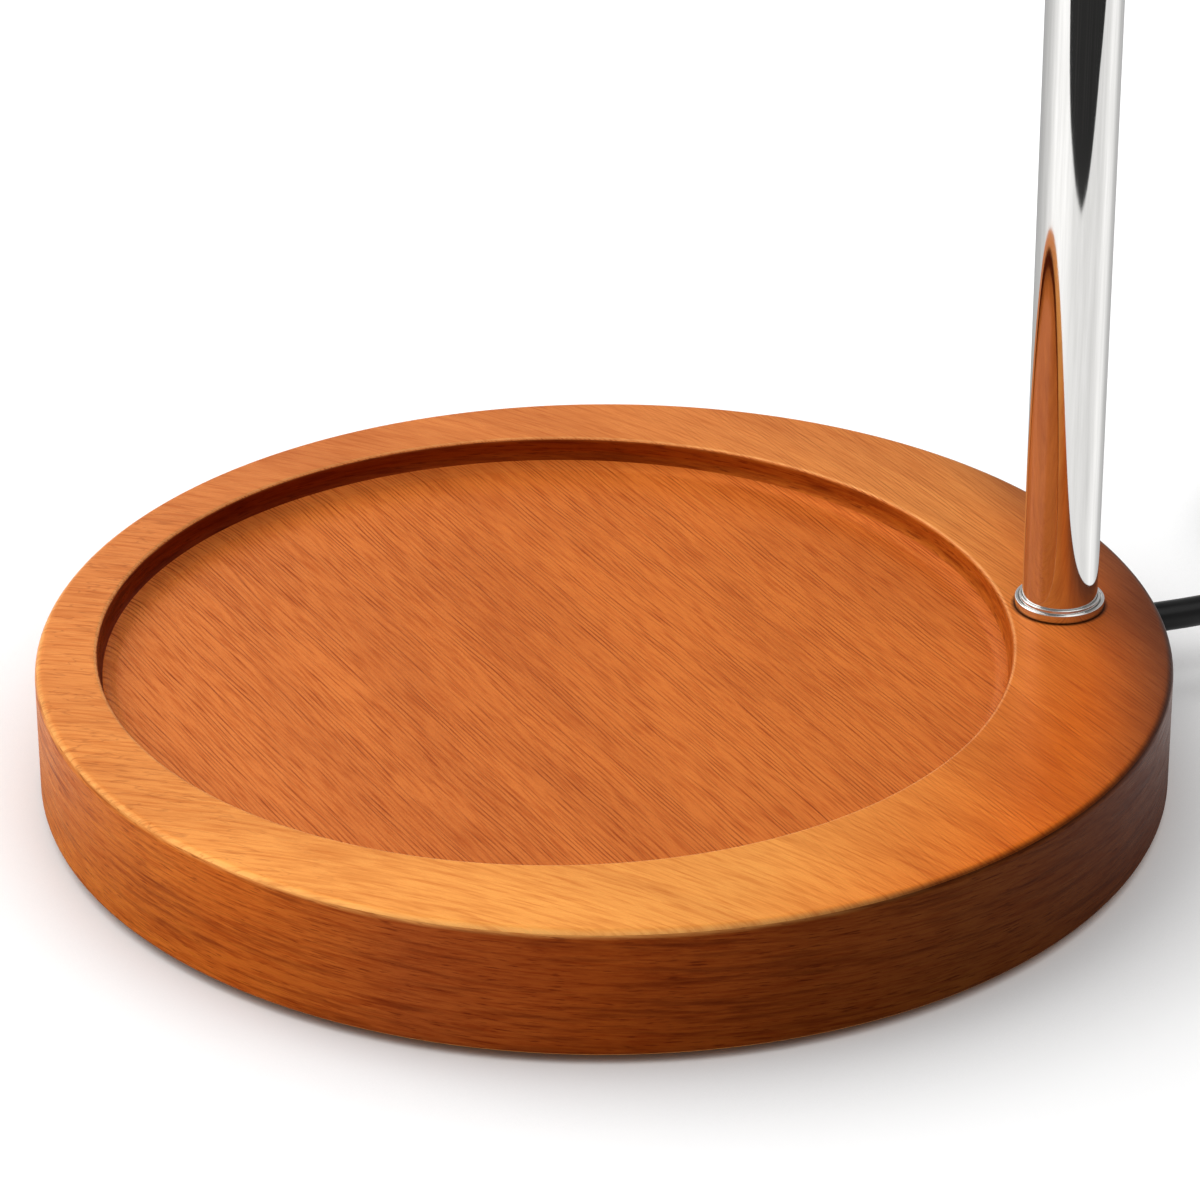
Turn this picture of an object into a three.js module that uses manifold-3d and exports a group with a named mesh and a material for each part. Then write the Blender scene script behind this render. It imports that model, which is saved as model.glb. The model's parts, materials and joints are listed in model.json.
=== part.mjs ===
// A warmer lamp: a turned wooden base with a round sunk tray, a polished telescopic
// pole at the tray's edge, and a swan-neck arm that swings a shaded reflector bulb
// over the tray. The lead leaves the side of the base, passes an in-line dimmer and
// ends, wound up, in its plug.
// Millimetres, +Z up. The origin is on the table, under the middle of the base, and
// the pole stands on +X.

import * as THREE from 'three';
import { mergeVertices } from 'three/addons/utils/BufferGeometryUtils.js';
import Module from 'manifold-3d';

const wasm = await Module();
wasm.setup();

// Fits shared by all pieces
const slipFit = 0.05; // round pieces that are fixed to each other, on the radius
const runFit = 0.15; // round pieces that turn or slide, on the radius
const faceGap = 0.1; // flat faces that turn on each other
const seatGap = 0.3; // pieces that touch at an angle
const overrun = 1; // how far a cutting shape passes the face that it opens

// Wooden base and its tray
const baseDiameter = 180;
const baseThickness = 21;
const baseTopRound = 1.5;
const baseBottomRound = 1;
const trayRim = 10.2; // the rim's width opposite the pole
const trayPoleRim = 24.6; // the rim's width where the pole stands
const trayDepth = 5.1;
const trayCove = 3;
const trayLipRound = 0.8;
const trayY = 3.8;

// Feet
const footDiameter = 14;
const footProud = 1.2;
const footSunk = 1;
const footRound = 0.5;
const footInset = 14; // from the base's edge to a foot's middle
const footCount = 4;

// Routed pocket under the base, and its cover
const pocketInset = 38; // from the base's edge to the pocket's middle
const pocketDiameter = 60;
const pocketDepth = 11.5;
const coverDiameter = 70;
const coverThickness = 1.4;
const coverSunk = 0.2;
const coverScrewCount = 3;
const coverScrewHead = 4.8;
const coverScrewShank = 2.6;
const coverScrewLength = 8;
const coverScrewHeadDepth = 1.2;

// Pole and what holds it to the base
const poleInset = 15.7; // from the base's edge to the pole's middle
const poleDiameter = 12.1;
const poleWall = 0.7;
const poleLength = 130;
const collarDiameter = 14.4;
const collarHeight = 2;
const collarStep = 0.4;
const collarStepDepth = 0.8;
const collarRound = 0.6;
const nippleDiameter = 8;
const nippleBore = 5.6;
const nippleBelowNut = 0.5;
const insertHeight = 10;
const washerDiameter = 13.4;
const washerThickness = 1.5;
const nutAcrossFlats = 12;
const nutThickness = 3;

// Lock collar at the top of the pole, with its guide and thumb screw
const lockDiameter = 17;
const lockBelowTop = 11;
const lockLip = 2.6;
const lockRound = 1.2;
const lockBossDiameter = 9;
const lockBossReach = 10;
const lockStudDiameter = 4;
const guideLength = 11;
const guideFlange = 1;
const knobDiameter = 13;
const knobLength = 5.2;
const knobRibDepth = 0.6;
const knobChamfer = 0.8;
const knobRibCount = 20;

// Upper pole, which slides in the pole
const upperDiameter = 9;
const upperWall = 0.8;
const upperShown = 44;
const upperHidden = 72;
const glideLength = 8;
const glideShank = 6;
const leadDiameter = 3;
const leadRoom = 0.4;

// Swivel between the upper pole and the arm
const swivelDiameter = 15;
const swivelSocket = 6;
const swivelWeb = 3;
const swivelRound = 1.4;
const swivelWasherDiameter = 8.8;
const swivelWasherThickness = 0.8;
const pivotDiameter = 6;
const pivotBore = 4;
const pivotHeadDiameter = 7.6;
const pivotHeadThickness = 1;
const stopPinDiameter = 1.6;
const stopPinCircle = 11.2;
const stopPinReach = 1.5;
const swingDegrees = 120; // each way from over the tray

// Arm and lamp head
const rimHeight = 175; // the shade's rim above the table
const shadeDiameter = 118;
const shadeHeight = 60;
const shadeWall = 1;
const shadeBand = 6;
const shadeTopDiameter = 48;
const shadeBead = 1.3;
const ventCount = 8;
const ventWidth = 4;
const ventLength = 12;
const ventCircle = 70;
const capDiameter = 35;
const capHeight = 25;
const capRound = 7;
const capCrown = 3;
const capWall = 1.2;
const capSpigot = 9;
const capSpigotDiameter = 30;
const capWellDiameter = 20;
const capWellDepth = 6;
const ringDiameter = 38;
const ringHeight = 6;
const armIntoCap = 10;
const armAboveCap = 6;
const capNutAcrossFlats = 13;
const capNutThickness = 5;
const strapThickness = 1;
const strapWidth = 11.4;
const strapHalfSpan = 8;
const strapFoot = 5;

// Lamp holder and reflector bulb
const holderDiameter = 27;
const holderHeight = 16;
const holderAboveSpigot = 2;
const pinPitch = 10;
const pinDiameter = 3;
const pinHeadDiameter = 5;
const pinHeadLength = 3;
const pinLength = 7;
const pinRoom = 0.4;
const holderScrewDiameter = 3;
const holderScrewHead = 4.4;
const holderScrewHeadHeight = 2;
const holderScrewLength = 7;
const bulbDiameter = 50;
const bulbLength = 46;
const bulbNeckDiameter = 20;
const bulbNeckLength = 12;
const bulbWall = 1;
const bulbLip = 2;
const lensThickness = 1.5;
const lensCrown = 1.5;
const capsuleDiameter = 9;
const capsuleLength = 17;

// Lead, from the side of the base
const cordDiameter = 5;
const cordDegrees = 7.8; // round the base, from the pole
const cordBelowTop = 10.8;
const reliefFlangeDiameter = 9.4;
const reliefFlange = 2;
const reliefRound = 0.8;
const reliefDiameter = 8;
const reliefTip = 6;
const reliefInside = 18.5;
const boreInside = 26;
const sheathPastRelief = 2;
const wireDiameter = 2.2;
const blockLength = 18;
const blockWidth = 17;
const blockHeight = 7;
const blockInset = 44; // from the base's edge to the block's middle
const blockBarrelDiameter = 6.6;
const blockBarrelPitch = 8.4;
const blockBase = 3;
const blockEndInset = 1;
const blockWellDiameter = 3.4;
const blockWellDepth = 3;

// In-line dimmer
const dimmerX = 166;
const dimmerY = -43;
const dimmerLength = 62;
const dimmerWidth = 28;
const dimmerHeight = 20;
const dimmerCorner = 12;
const dimmerWall = 1.8;
const dimmerEdge = 2.4;
const wheelDiameter = 26;
const wheelThickness = 6;
const wheelOffset = 4;
const wheelRoom = 0.5;
const wheelRibDepth = 0.7;
const wheelRibCount = 28;
const wheelHub = 5;
const boardThickness = 1.6;
const boardRise = 0.3;
const boardEdgeGap = 1;
const boardLength = 34;
const potSize = 9;
const chokeDiameter = 3.6;
const chokeLength = 12;
const dimmerScrewX = 7.5;
const dimmerScrewY = 20.5;
const dimmerScrewDiameter = 2.4;
const dimmerScrewHead = 4.4;
const dimmerScrewHeadHeight = 1.6;
const dimmerScrewLength = 13;
const dimmerPost = 5.6;

// Wound lead and plug
const coilX = 160;
const coilY = 55;
const coilOuterDiameter = 76; // to the middle of the outermost turn
const coilPitch = 5.55;
const coilTurns = 6.5;
const coilPointsPerTurn = 24;
const coilLayerRise = 5.5;
const tableLift = 0.1;
const plugFrontY = -6;
const plugLength = 38;
const plugWidth = 23;
const plugThickness = 16;
const plugNeckDiameter = 7;
const plugNeckLength = 15;
const plugShoulder = 7;
const plugEdge = 1.5;
const plugSquareness = 0.6; // 1 is an ellipse, and 0 would be a rectangle
const shoulderSquareness = 0.8;
const bladeLength = 17;
const bladeWidth = 6.35;
const bladeThickness = 1.5;
const bladePitch = 12.7;
const bladeSunk = 3;

// Facets
const baseSides = 60;
const wideSides = 36;
const poleSides = 24;
const smallSides = 12;
const screwSides = 8;
const wireSides = 6;
const roundSteps = 3;
const cordStepShare = 2.5; // of the cord's diameter
const wireStepShare = 0.8; // of the wire's diameter

// Levels, places and radii that several pieces share
const baseRadius = baseDiameter / 2;
const trayDiameter = baseDiameter - trayRim - trayPoleRim;
const trayX = (trayRim - trayPoleRim) / 2;
const poleX = baseRadius - poleInset;
const pocketX = baseRadius - pocketInset;
const baseBottom = footProud;
const baseTop = baseBottom + baseThickness;
const pocketCeiling = baseBottom + pocketDepth;
const poleTop = baseTop + poleLength;
const lockBottom = poleTop - lockBelowTop;
const lockTop = poleTop + guideFlange + faceGap + lockLip;
const studHeight = poleTop - lockBelowTop / 2;
const swivelBottom = lockTop + upperShown;
const swivelMiddle = swivelBottom + swivelSocket + swivelWeb;
const swivelUpperBottom = swivelMiddle + swivelWasherThickness + faceGap;
const pivotTop = swivelUpperBottom + swivelWeb + faceGap + pivotHeadThickness;
const armSeat = pivotTop + faceGap;
const upperBottom = lockTop - upperHidden;
const shadeTop = rimHeight + shadeHeight;
const capTop = shadeTop + capHeight;
const holderFace = shadeTop - capSpigot + holderAboveSpigot;
const bulbTop = holderFace - seatGap;
const armReach = poleX - trayX;
const archHeight = capTop + armAboveCap;
const poleBoreRadius = poleDiameter / 2 - poleWall;
const upperRadius = upperDiameter / 2;
const upperBoreRadius = upperRadius - upperWall;
const leadBoreRadius = leadDiameter / 2 + leadRoom;
const cordRadius = cordDiameter / 2;
const cordHeight = baseTop - cordBelowTop;
const cordRest = cordRadius + tableLift;
const dimmerMiddle = dimmerHeight / 2;

const radians = THREE.MathUtils.degToRad;

// Points of an arc in a profile's plane, from one angle to another
function arc(middleR, middleZ, radius, fromDegrees, toDegrees, steps = roundSteps) {
  return Array.from({ length: steps + 1 }, (_, i) => {
    const angle = radians(fromDegrees + ((toDegrees - fromDegrees) * i) / steps);
    return [middleR + radius * Math.cos(angle), middleZ + radius * Math.sin(angle)];
  });
}

// A piece turned round the Z axis from [radius, height] points, listed counterclockwise
function turned(profile, sides) {
  const closed = profile[0][0] === 0 ? profile : [...profile, profile[0]];
  const points = closed.map(([r, z]) => new THREE.Vector2(r, z));
  return new THREE.LatheGeometry(points, sides).rotateX(Math.PI / 2);
}

function rod(radius, from, to, sides) {
  return turned([[0, from], [radius, from], [radius, to], [0, to]], sides);
}

function pipe(bore, radius, from, to, sides) {
  return turned([[bore, from], [radius, from], [radius, to], [bore, to]], sides);
}

// An upright piece of one outline
function slab(outline, from, to) {
  const shape = new THREE.Shape(outline.map(([x, y]) => new THREE.Vector2(x, y)));
  const extruded = new THREE.ExtrudeGeometry(shape, { depth: to - from, bevelEnabled: false });
  return extruded.translate(0, 0, from);
}

function box(width, length, from, to) {
  const block = new THREE.BoxGeometry(width, length, to - from);
  return block.translate(0, 0, (from + to) / 2);
}

function circle(radius, sides, fromDegrees = 0) {
  return Array.from({ length: sides }, (_, i) => {
    const angle = radians(fromDegrees) + (2 * Math.PI * i) / sides;
    return [radius * Math.cos(angle), radius * Math.sin(angle)];
  });
}

function hexagon(acrossFlats, fromDegrees) {
  return circle(acrossFlats / 2 / Math.cos(Math.PI / 6), 6, fromDegrees);
}

// A rim of ribs for the fingers: every other point lies lower
function ribbed(radius, depth, count) {
  return circle(1, 2 * count).map(([x, y], i) => {
    const reach = i % 2 ? radius - depth : radius;
    return [x * reach, y * reach];
  });
}

// A rectangle with round corners, drawn in from its edge by an inset
function roundedRectangle(width, length, corner, inset) {
  const x = width / 2 - corner;
  const y = length / 2 - corner;
  const turns = [[x, -y, -90], [x, y, 0], [-x, y, 90], [-x, -y, 180]];
  return turns.flatMap(([cx, cy, from]) => arc(cx, cy, corner - inset, from, from + 90));
}

// A closed skin over rings of [x, y, z] points with as many points each
function lofted(rings) {
  const count = rings[0].length;
  const middles = [rings[0], rings.at(-1)].map((ring) =>
    [0, 1, 2].map((k) => ring.reduce((sum, p) => sum + p[k], 0) / count));
  const positions = [...rings.flat(), ...middles].flat();
  const first = rings.length * count;
  const faces = [];
  for (let j = 0; j < count; j += 1) {
    const next = (j + 1) % count;
    for (let i = 0; i + 1 < rings.length; i += 1) {
      const [a, b] = [i * count + j, i * count + next];
      faces.push(a, b, b + count, a, b + count, a + count);
    }
    const last = first - count;
    faces.push(first, next, j, first + 1, last + j, last + next);
  }
  const geometry = new THREE.BufferGeometry();
  geometry.setAttribute('position', new THREE.Float32BufferAttribute(positions, 3));
  return geometry.setIndex(faces);
}

function stacked(layers) {
  return lofted(layers.map(([outline, z]) => outline.map(([x, y]) => [x, y, z])));
}

// A round bar or, with a bore, a round tube along a path
function along(path, radius, steps, sides, bore = 0) {
  const toPoints = (ring) => ring.map(([x, y]) => new THREE.Vector2(x, y));
  const section = new THREE.Shape(toPoints(circle(radius, sides)));
  if (bore > 0) section.holes.push(new THREE.Path(toPoints(circle(bore, screwSides))));
  return new THREE.ExtrudeGeometry(section, { steps, extrudePath: path });
}

// Corners that coincide become one, and faces without area go
function welded(geometry) {
  const bare = geometry.clone();
  bare.deleteAttribute('normal');
  bare.deleteAttribute('uv');
  const merged = mergeVertices(bare);
  const corners = [];
  for (let i = 0; i < merged.index.count; i += 3) {
    const [a, b, c] = [0, 1, 2].map((k) => merged.index.getX(i + k));
    if (a !== b && b !== c && c !== a) corners.push(a, b, c);
  }
  return merged.setIndex(corners);
}

function solid(geometry) {
  const { index, attributes } = welded(geometry);
  const mesh = new wasm.Mesh({
    numProp: 3,
    vertProperties: Float32Array.from(attributes.position.array),
    triVerts: Uint32Array.from(index.array),
  });
  return new wasm.Manifold(mesh);
}

function skin(body) {
  const { vertProperties, triVerts } = body.getMesh();
  const geometry = new THREE.BufferGeometry();
  geometry.setAttribute('position', new THREE.BufferAttribute(vertProperties, 3));
  return geometry.setIndex(new THREE.BufferAttribute(triVerts, 1));
}

function cut(body, ...tools) {
  return skin(tools.reduce((left, tool) => left.subtract(solid(tool)), solid(body)));
}

function kept(body, tool) {
  return skin(solid(body).intersect(solid(tool)));
}

function joined(body, ...others) {
  return skin(others.reduce((whole, other) => whole.add(solid(other)), solid(body)));
}

// Finishes, each made afresh for its piece
const finishes = {
  wood: [0xa8551f, 0.38, 0],
  chrome: [0xdadcde, 0.08, 1],
  steel: [0xb8babc, 0.35, 1],
  brass: [0xb8943f, 0.35, 1],
  nylon: [0xe8e4d8, 0.5, 0],
  ceramic: [0xf0ece0, 0.55, 0],
  glass: [0xe6ecee, 0.05, 0],
  mirrorGlass: [0xcfd2d6, 0.1, 0.6],
  rubber: [0x17181a, 0.7, 0],
  black: [0x141516, 0.42, 0],
  board: [0x2f5a3a, 0.5, 0],
  redWire: [0x8a2f20, 0.5, 0],
  silicone: [0xd9d6cc, 0.6, 0],
};

function piece(name, finish, geometry, x = 0, y = 0, z = 0) {
  const [color, roughness, metalness] = finishes[finish];
  const shape = welded(geometry);
  shape.computeVertexNormals();
  const material = new THREE.MeshStandardMaterial({ color, roughness, metalness });
  const mesh = new THREE.Mesh(shape, material);
  mesh.name = name;
  mesh.position.set(x, y, z);
  return mesh;
}

// Points spread evenly round a middle
function around(middleX, middleY, diameter, count, fromDegrees) {
  return circle(diameter / 2, count, fromDegrees).map(([x, y]) => [middleX + x, middleY + y]);
}

const lamp = new THREE.Group();
lamp.name = 'warmer_lamp';

// Base: a disc turned from one board, with an off-centre tray and a routed underside
const coverSeat = coverThickness + coverSunk;
const coverScrewCircle = (pocketDiameter + coverDiameter) / 2;
const coverScrewPlaces = around(pocketX, 0, coverScrewCircle, coverScrewCount, 90);
const footPlaces = around(0, 0, baseDiameter - 2 * footInset, footCount, 45);
const cordTurn = radians(cordDegrees);

function radialBar(geometry) {
  return geometry.rotateY(Math.PI / 2).rotateZ(cordTurn);
}

function basePlate() {
  const top = baseThickness;
  const disc = turned([
    [0, 0],
    ...arc(baseRadius - baseBottomRound, baseBottomRound, baseBottomRound, -90, 0, 1),
    ...arc(baseRadius - baseTopRound, top - baseTopRound, baseTopRound, 0, 90),
    [0, top],
  ], baseSides);
  const trayRadius = trayDiameter / 2;
  const floor = top - trayDepth;
  const tray = turned([
    [0, floor],
    ...arc(trayRadius - trayCove, floor + trayCove, trayCove, -90, 0),
    ...arc(trayRadius + trayLipRound, top - trayLipRound, trayLipRound, 180, 90, 2),
    [trayRadius + trayLipRound, top + overrun],
    [0, top + overrun],
  ], baseSides).translate(trayX, trayY, 0);
  const pocket = rod(pocketDiameter / 2, -overrun, pocketDepth, wideSides).translate(pocketX, 0, 0);
  const rebateRadius = coverDiameter / 2 + seatGap;
  const rebate = rod(rebateRadius, -overrun, coverSeat, wideSides).translate(pocketX, 0, 0);
  const holeRadius = nippleDiameter / 2 + runFit;
  const poleHole = rod(holeRadius, 0, top + overrun, poleSides).translate(poleX, 0, 0);
  const footHoles = footPlaces.map(([x, y]) =>
    rod(footDiameter / 2 + slipFit, -overrun, footSunk, smallSides).translate(x, y, 0));
  const pilotRadius = coverScrewShank / 2 + slipFit;
  const pilots = coverScrewPlaces.map(([x, y]) =>
    rod(pilotRadius, 0, coverScrewLength + overrun, screwSides).translate(x, y, 0));
  const boreRadius = reliefDiameter / 2 + slipFit;
  const bore = radialBar(rod(boreRadius, baseRadius - boreInside, baseRadius + overrun, smallSides));
  bore.translate(0, 0, top - cordBelowTop);
  return cut(disc, tray, pocket, rebate, poleHole, ...footHoles, ...pilots, bore);
}

function foot() {
  const radius = footDiameter / 2;
  return turned([
    [0, 0],
    [radius - footRound, 0],
    [radius, footRound],
    [radius, footProud + footSunk],
    [0, footProud + footSunk],
  ], smallSides);
}

function bottomCover() {
  const plate = rod(coverDiameter / 2, 0, coverThickness, wideSides).translate(pocketX, 0, 0);
  const wide = coverScrewHead / 2 + slipFit;
  const narrow = coverScrewShank / 2 + slipFit;
  const holes = coverScrewPlaces.map(([x, y]) => turned([
    [0, -overrun],
    [wide, -overrun],
    [wide, 0],
    [narrow, coverScrewHeadDepth],
    [narrow, coverThickness + overrun],
    [0, coverThickness + overrun],
  ], screwSides).translate(x, y, 0));
  return cut(plate, ...holes);
}

function coverScrew() {
  return turned([
    [0, 0],
    [coverScrewHead / 2, 0],
    [coverScrewShank / 2, coverScrewHeadDepth],
    [coverScrewShank / 2, coverScrewLength],
    [0, coverScrewLength],
  ], screwSides);
}

lamp.add(piece('base_plate', 'wood', basePlate(), 0, 0, baseBottom));
footPlaces.forEach(([x, y], i) => lamp.add(piece(`foot_${i + 1}`, 'rubber', foot(), x, y)));
lamp.add(piece('bottom_cover', 'black', bottomCover(), 0, 0, baseBottom + coverSunk));
coverScrewPlaces.forEach(([x, y], i) => {
  lamp.add(piece(`cover_screw_${i + 1}`, 'steel', coverScrew(), x, y, baseBottom + coverSunk));
});

// Pole: a plain tube on the base, drawn down by a hollow threaded nipple
const washerBottom = pocketCeiling - washerThickness;
const nutBottom = washerBottom - nutThickness;
const nippleRadius = nippleDiameter / 2;

function hexNut(acrossFlats, thickness, bore, fromDegrees) {
  const body = slab(hexagon(acrossFlats, fromDegrees), 0, thickness);
  return cut(body, rod(bore, -overrun, thickness + overrun, poleSides));
}

function lowerPole() {
  const tube = pipe(poleBoreRadius, poleDiameter / 2, baseTop, poleTop, poleSides);
  const hole = rod(lockStudDiameter / 2 + runFit, 0, poleDiameter, smallSides);
  return cut(tube, hole.rotateY(Math.PI / 2).translate(0, 0, studHeight));
}

function baseCollar() {
  const inner = poleDiameter / 2 + slipFit;
  const outer = collarDiameter / 2;
  const step = inner + collarStep;
  return turned([
    [inner, 0],
    [outer, 0],
    ...arc(outer - collarRound, collarHeight - collarRound, collarRound, 0, 90, 2),
    [step, collarHeight],
    [step, collarHeight - collarStepDepth],
    [inner, collarHeight - collarStepDepth],
  ], poleSides);
}

const pole = new THREE.Group();
pole.position.x = poleX;
pole.add(
  piece('lower_pole', 'chrome', lowerPole()),
  piece('base_collar', 'chrome', baseCollar(), 0, 0, baseTop),
  piece('pole_nipple', 'steel', pipe(nippleBore / 2, nippleRadius, nutBottom - nippleBelowNut,
    baseTop + insertHeight, poleSides)),
  piece('pole_insert', 'brass', pipe(nippleRadius + slipFit, poleBoreRadius - slipFit, baseTop,
    baseTop + insertHeight, poleSides)),
  piece('pole_washer', 'steel', pipe(nippleRadius + slipFit, washerDiameter / 2, washerBottom,
    pocketCeiling, poleSides)),
  piece('pole_nut', 'brass', hexNut(nutAcrossFlats, nutThickness, nippleRadius + slipFit, 30),
    0, 0, nutBottom),
);

// Lock collar: caps the pole, guides the upper pole and takes the thumb screw
const studRadius = lockStudDiameter / 2;
const studHole = rod(studRadius + runFit, 0, lockDiameter, smallSides)
  .rotateY(Math.PI / 2).translate(0, 0, studHeight);

function guideBushing() {
  const inner = upperRadius + runFit;
  const sleeve = turned([
    [inner, poleTop - guideLength],
    [poleBoreRadius - slipFit, poleTop - guideLength],
    [poleBoreRadius - slipFit, poleTop],
    [poleDiameter / 2, poleTop],
    [poleDiameter / 2, poleTop + guideFlange],
    [inner, poleTop + guideFlange],
  ], poleSides);
  return cut(sleeve, studHole);
}

function lockCollar() {
  const seat = poleDiameter / 2 + slipFit;
  const lipBottom = poleTop + guideFlange + faceGap;
  const outer = lockDiameter / 2;
  const body = turned([
    [seat, lockBottom],
    ...arc(outer - lockRound, lockBottom + lockRound, lockRound, -90, 0, 2),
    ...arc(outer - lockRound, lockTop - lockRound, lockRound, 0, 90, 2),
    [upperRadius + runFit, lockTop],
    [upperRadius + runFit, lipBottom],
    [seat, lipBottom],
  ], poleSides);
  const boss = rod(lockBossDiameter / 2, seat + lockRound / 2, lockBossReach, smallSides);
  const whole = joined(body, boss.rotateY(Math.PI / 2).translate(0, 0, studHeight));
  return cut(whole, studHole);
}

function lockKnob() {
  const radius = knobDiameter / 2;
  const rim = (inset) => ribbed(radius - inset, knobRibDepth, knobRibCount);
  const knob = stacked([
    [rim(knobChamfer), 0],
    [rim(0), knobChamfer],
    [rim(0), knobLength - knobChamfer],
    [rim(knobChamfer), knobLength],
  ]);
  const bore = rod(studRadius + slipFit, -overrun, knobLength - knobChamfer, smallSides);
  return cut(knob, bore).rotateY(Math.PI / 2);
}

function lockStud() {
  const start = upperRadius + seatGap;
  const end = lockBossReach + seatGap + knobLength - knobChamfer;
  return rod(studRadius, start, end, smallSides).rotateY(Math.PI / 2);
}

pole.add(
  piece('guide_bushing', 'nylon', guideBushing()),
  piece('lock_collar', 'chrome', lockCollar()),
  piece('lock_knob', 'chrome', lockKnob(), lockBossReach + seatGap, 0, studHeight),
  piece('lock_stud', 'steel', lockStud(), 0, 0, studHeight),
);

// Upper pole: slides in the pole on a nylon plug, and carries the swivel's lower half
const upperTop = swivelBottom + swivelSocket;

function glidePlug() {
  return turned([
    [leadBoreRadius, 0],
    [poleBoreRadius - runFit, 0],
    [poleBoreRadius - runFit, glideLength],
    [upperBoreRadius - slipFit, glideLength],
    [upperBoreRadius - slipFit, glideLength + glideShank],
    [leadBoreRadius, glideLength + glideShank],
  ], poleSides);
}

function swivelLower() {
  const outer = swivelDiameter / 2;
  const web = swivelSocket + swivelWeb;
  const cup = turned([
    [upperRadius + slipFit, 0],
    ...arc(outer - swivelRound, swivelRound, swivelRound, -90, 0, 2),
    [outer, web],
    [pivotDiameter / 2 + slipFit, web],
    [pivotDiameter / 2 + slipFit, swivelSocket],
    [upperRadius + slipFit, swivelSocket],
  ], poleSides);
  const radius = stopPinDiameter / 2 + slipFit;
  const hole = rod(radius, swivelSocket + overrun, web + overrun, screwSides);
  return cut(cup, hole.translate(stopPinCircle / 2, 0, 0));
}

function pivotTube() {
  const bore = pivotBore / 2;
  const outer = pivotDiameter / 2;
  const head = pivotHeadDiameter / 2;
  const lowerHead = upperTop - pivotHeadThickness;
  const upperHead = pivotTop - pivotHeadThickness;
  return turned([
    [bore, lowerHead],
    [upperBoreRadius - slipFit, lowerHead],
    [upperBoreRadius - slipFit, upperTop],
    [outer, upperTop],
    [outer, upperHead],
    [head, upperHead],
    [head, pivotTop],
    [bore, pivotTop],
  ], poleSides);
}

pole.add(
  piece('upper_pole', 'chrome', pipe(upperBoreRadius, upperRadius, upperBottom, upperTop, poleSides)),
  piece('glide_plug', 'nylon', glidePlug(), 0, 0, upperBottom - glideLength),
  piece('swivel_lower', 'chrome', swivelLower(), 0, 0, swivelBottom),
  piece('pivot_tube', 'brass', pivotTube()),
  piece('swivel_washer', 'nylon', pipe(pivotDiameter / 2 + slipFit, swivelWasherDiameter / 2,
    swivelMiddle, swivelMiddle + swivelWasherThickness, poleSides)),
  piece('stop_pin', 'steel', rod(stopPinDiameter / 2, swivelBottom + swivelSocket + overrun,
    swivelUpperBottom + stopPinReach, screwSides), stopPinCircle / 2),
);

// Swivel's upper half, with the groove in which the stop pin ends the swing
const grooveRoom = seatGap + stopPinDiameter / 2;

function stopGroove() {
  const half = swingDegrees + THREE.MathUtils.radToDeg(grooveRoom / (stopPinCircle / 2));
  const outer = arc(0, 0, stopPinCircle / 2 + grooveRoom, -half, half, 16);
  const inner = arc(0, 0, stopPinCircle / 2 - grooveRoom, half, -half, 16);
  return slab([...outer, ...inner], -overrun, stopPinReach + seatGap);
}

function swivelUpper() {
  const outer = swivelDiameter / 2;
  const seat = armSeat - swivelUpperBottom;
  const height = seat + swivelSocket;
  const cup = turned([
    [pivotDiameter / 2 + runFit, 0],
    [outer, 0],
    ...arc(outer - swivelRound, height - swivelRound, swivelRound, 0, 90, 2),
    [upperRadius + slipFit, height],
    [upperRadius + slipFit, seat],
    [pivotHeadDiameter / 2 + runFit, seat],
    [pivotHeadDiameter / 2 + runFit, swivelWeb],
    [pivotDiameter / 2 + runFit, swivelWeb],
  ], poleSides);
  return cut(cup, stopGroove());
}

// Arm: one tube bent in a half circle, from the swivel to the lamp head
class ArchPath extends THREE.Curve {
  constructor(start, end) {
    super();
    Object.assign(this, { start, end });
  }

  getPoint(t, target = new THREE.Vector3()) {
    const radius = armReach / 2;
    const rise = archHeight - this.start;
    const bend = Math.PI * radius;
    const travel = t * (rise + bend + archHeight - this.end);
    if (travel < rise) return target.set(0, 0, this.start + travel);
    if (travel > rise + bend) {
      return target.set(-armReach, 0, archHeight - (travel - rise - bend));
    }
    const angle = (travel - rise) / radius;
    const x = -radius + radius * Math.cos(angle);
    return target.set(x, 0, archHeight + radius * Math.sin(angle));
  }
}

const armEnd = capTop - armIntoCap;
const holderTop = holderFace + holderHeight;
const leadJoin = pivotTop - pivotHeadThickness;

pole.add(
  piece('swivel_upper', 'chrome', swivelUpper(), 0, 0, swivelUpperBottom),
  piece('arm_tube', 'chrome',
    along(new ArchPath(armSeat, armEnd), upperRadius, 26, smallSides, upperBoreRadius)),
  piece('arm_lead', 'silicone',
    along(new ArchPath(leadJoin + seatGap, holderTop + seatGap), leadDiameter / 2, 20, wireSides)),
);
lamp.add(pole);

// Lamp head: a spun steel shade clamped between the socket cap and its ring
const head = new THREE.Group();
head.position.x = trayX;
const spigotRadius = capSpigotDiameter / 2;
const capBoreRadius = spigotRadius - capWall;

function domeSide(inset) {
  const shoulder = shadeTopDiameter / 2;
  const reach = shadeDiameter / 2 - shoulder - inset;
  const rise = shadeHeight - shadeBand - inset;
  return arc(0, 0, 1, 0, 90, 8).map(([x, y]) => [
    shoulder + reach * x,
    rimHeight + shadeBand + rise * y,
  ]);
}

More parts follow.
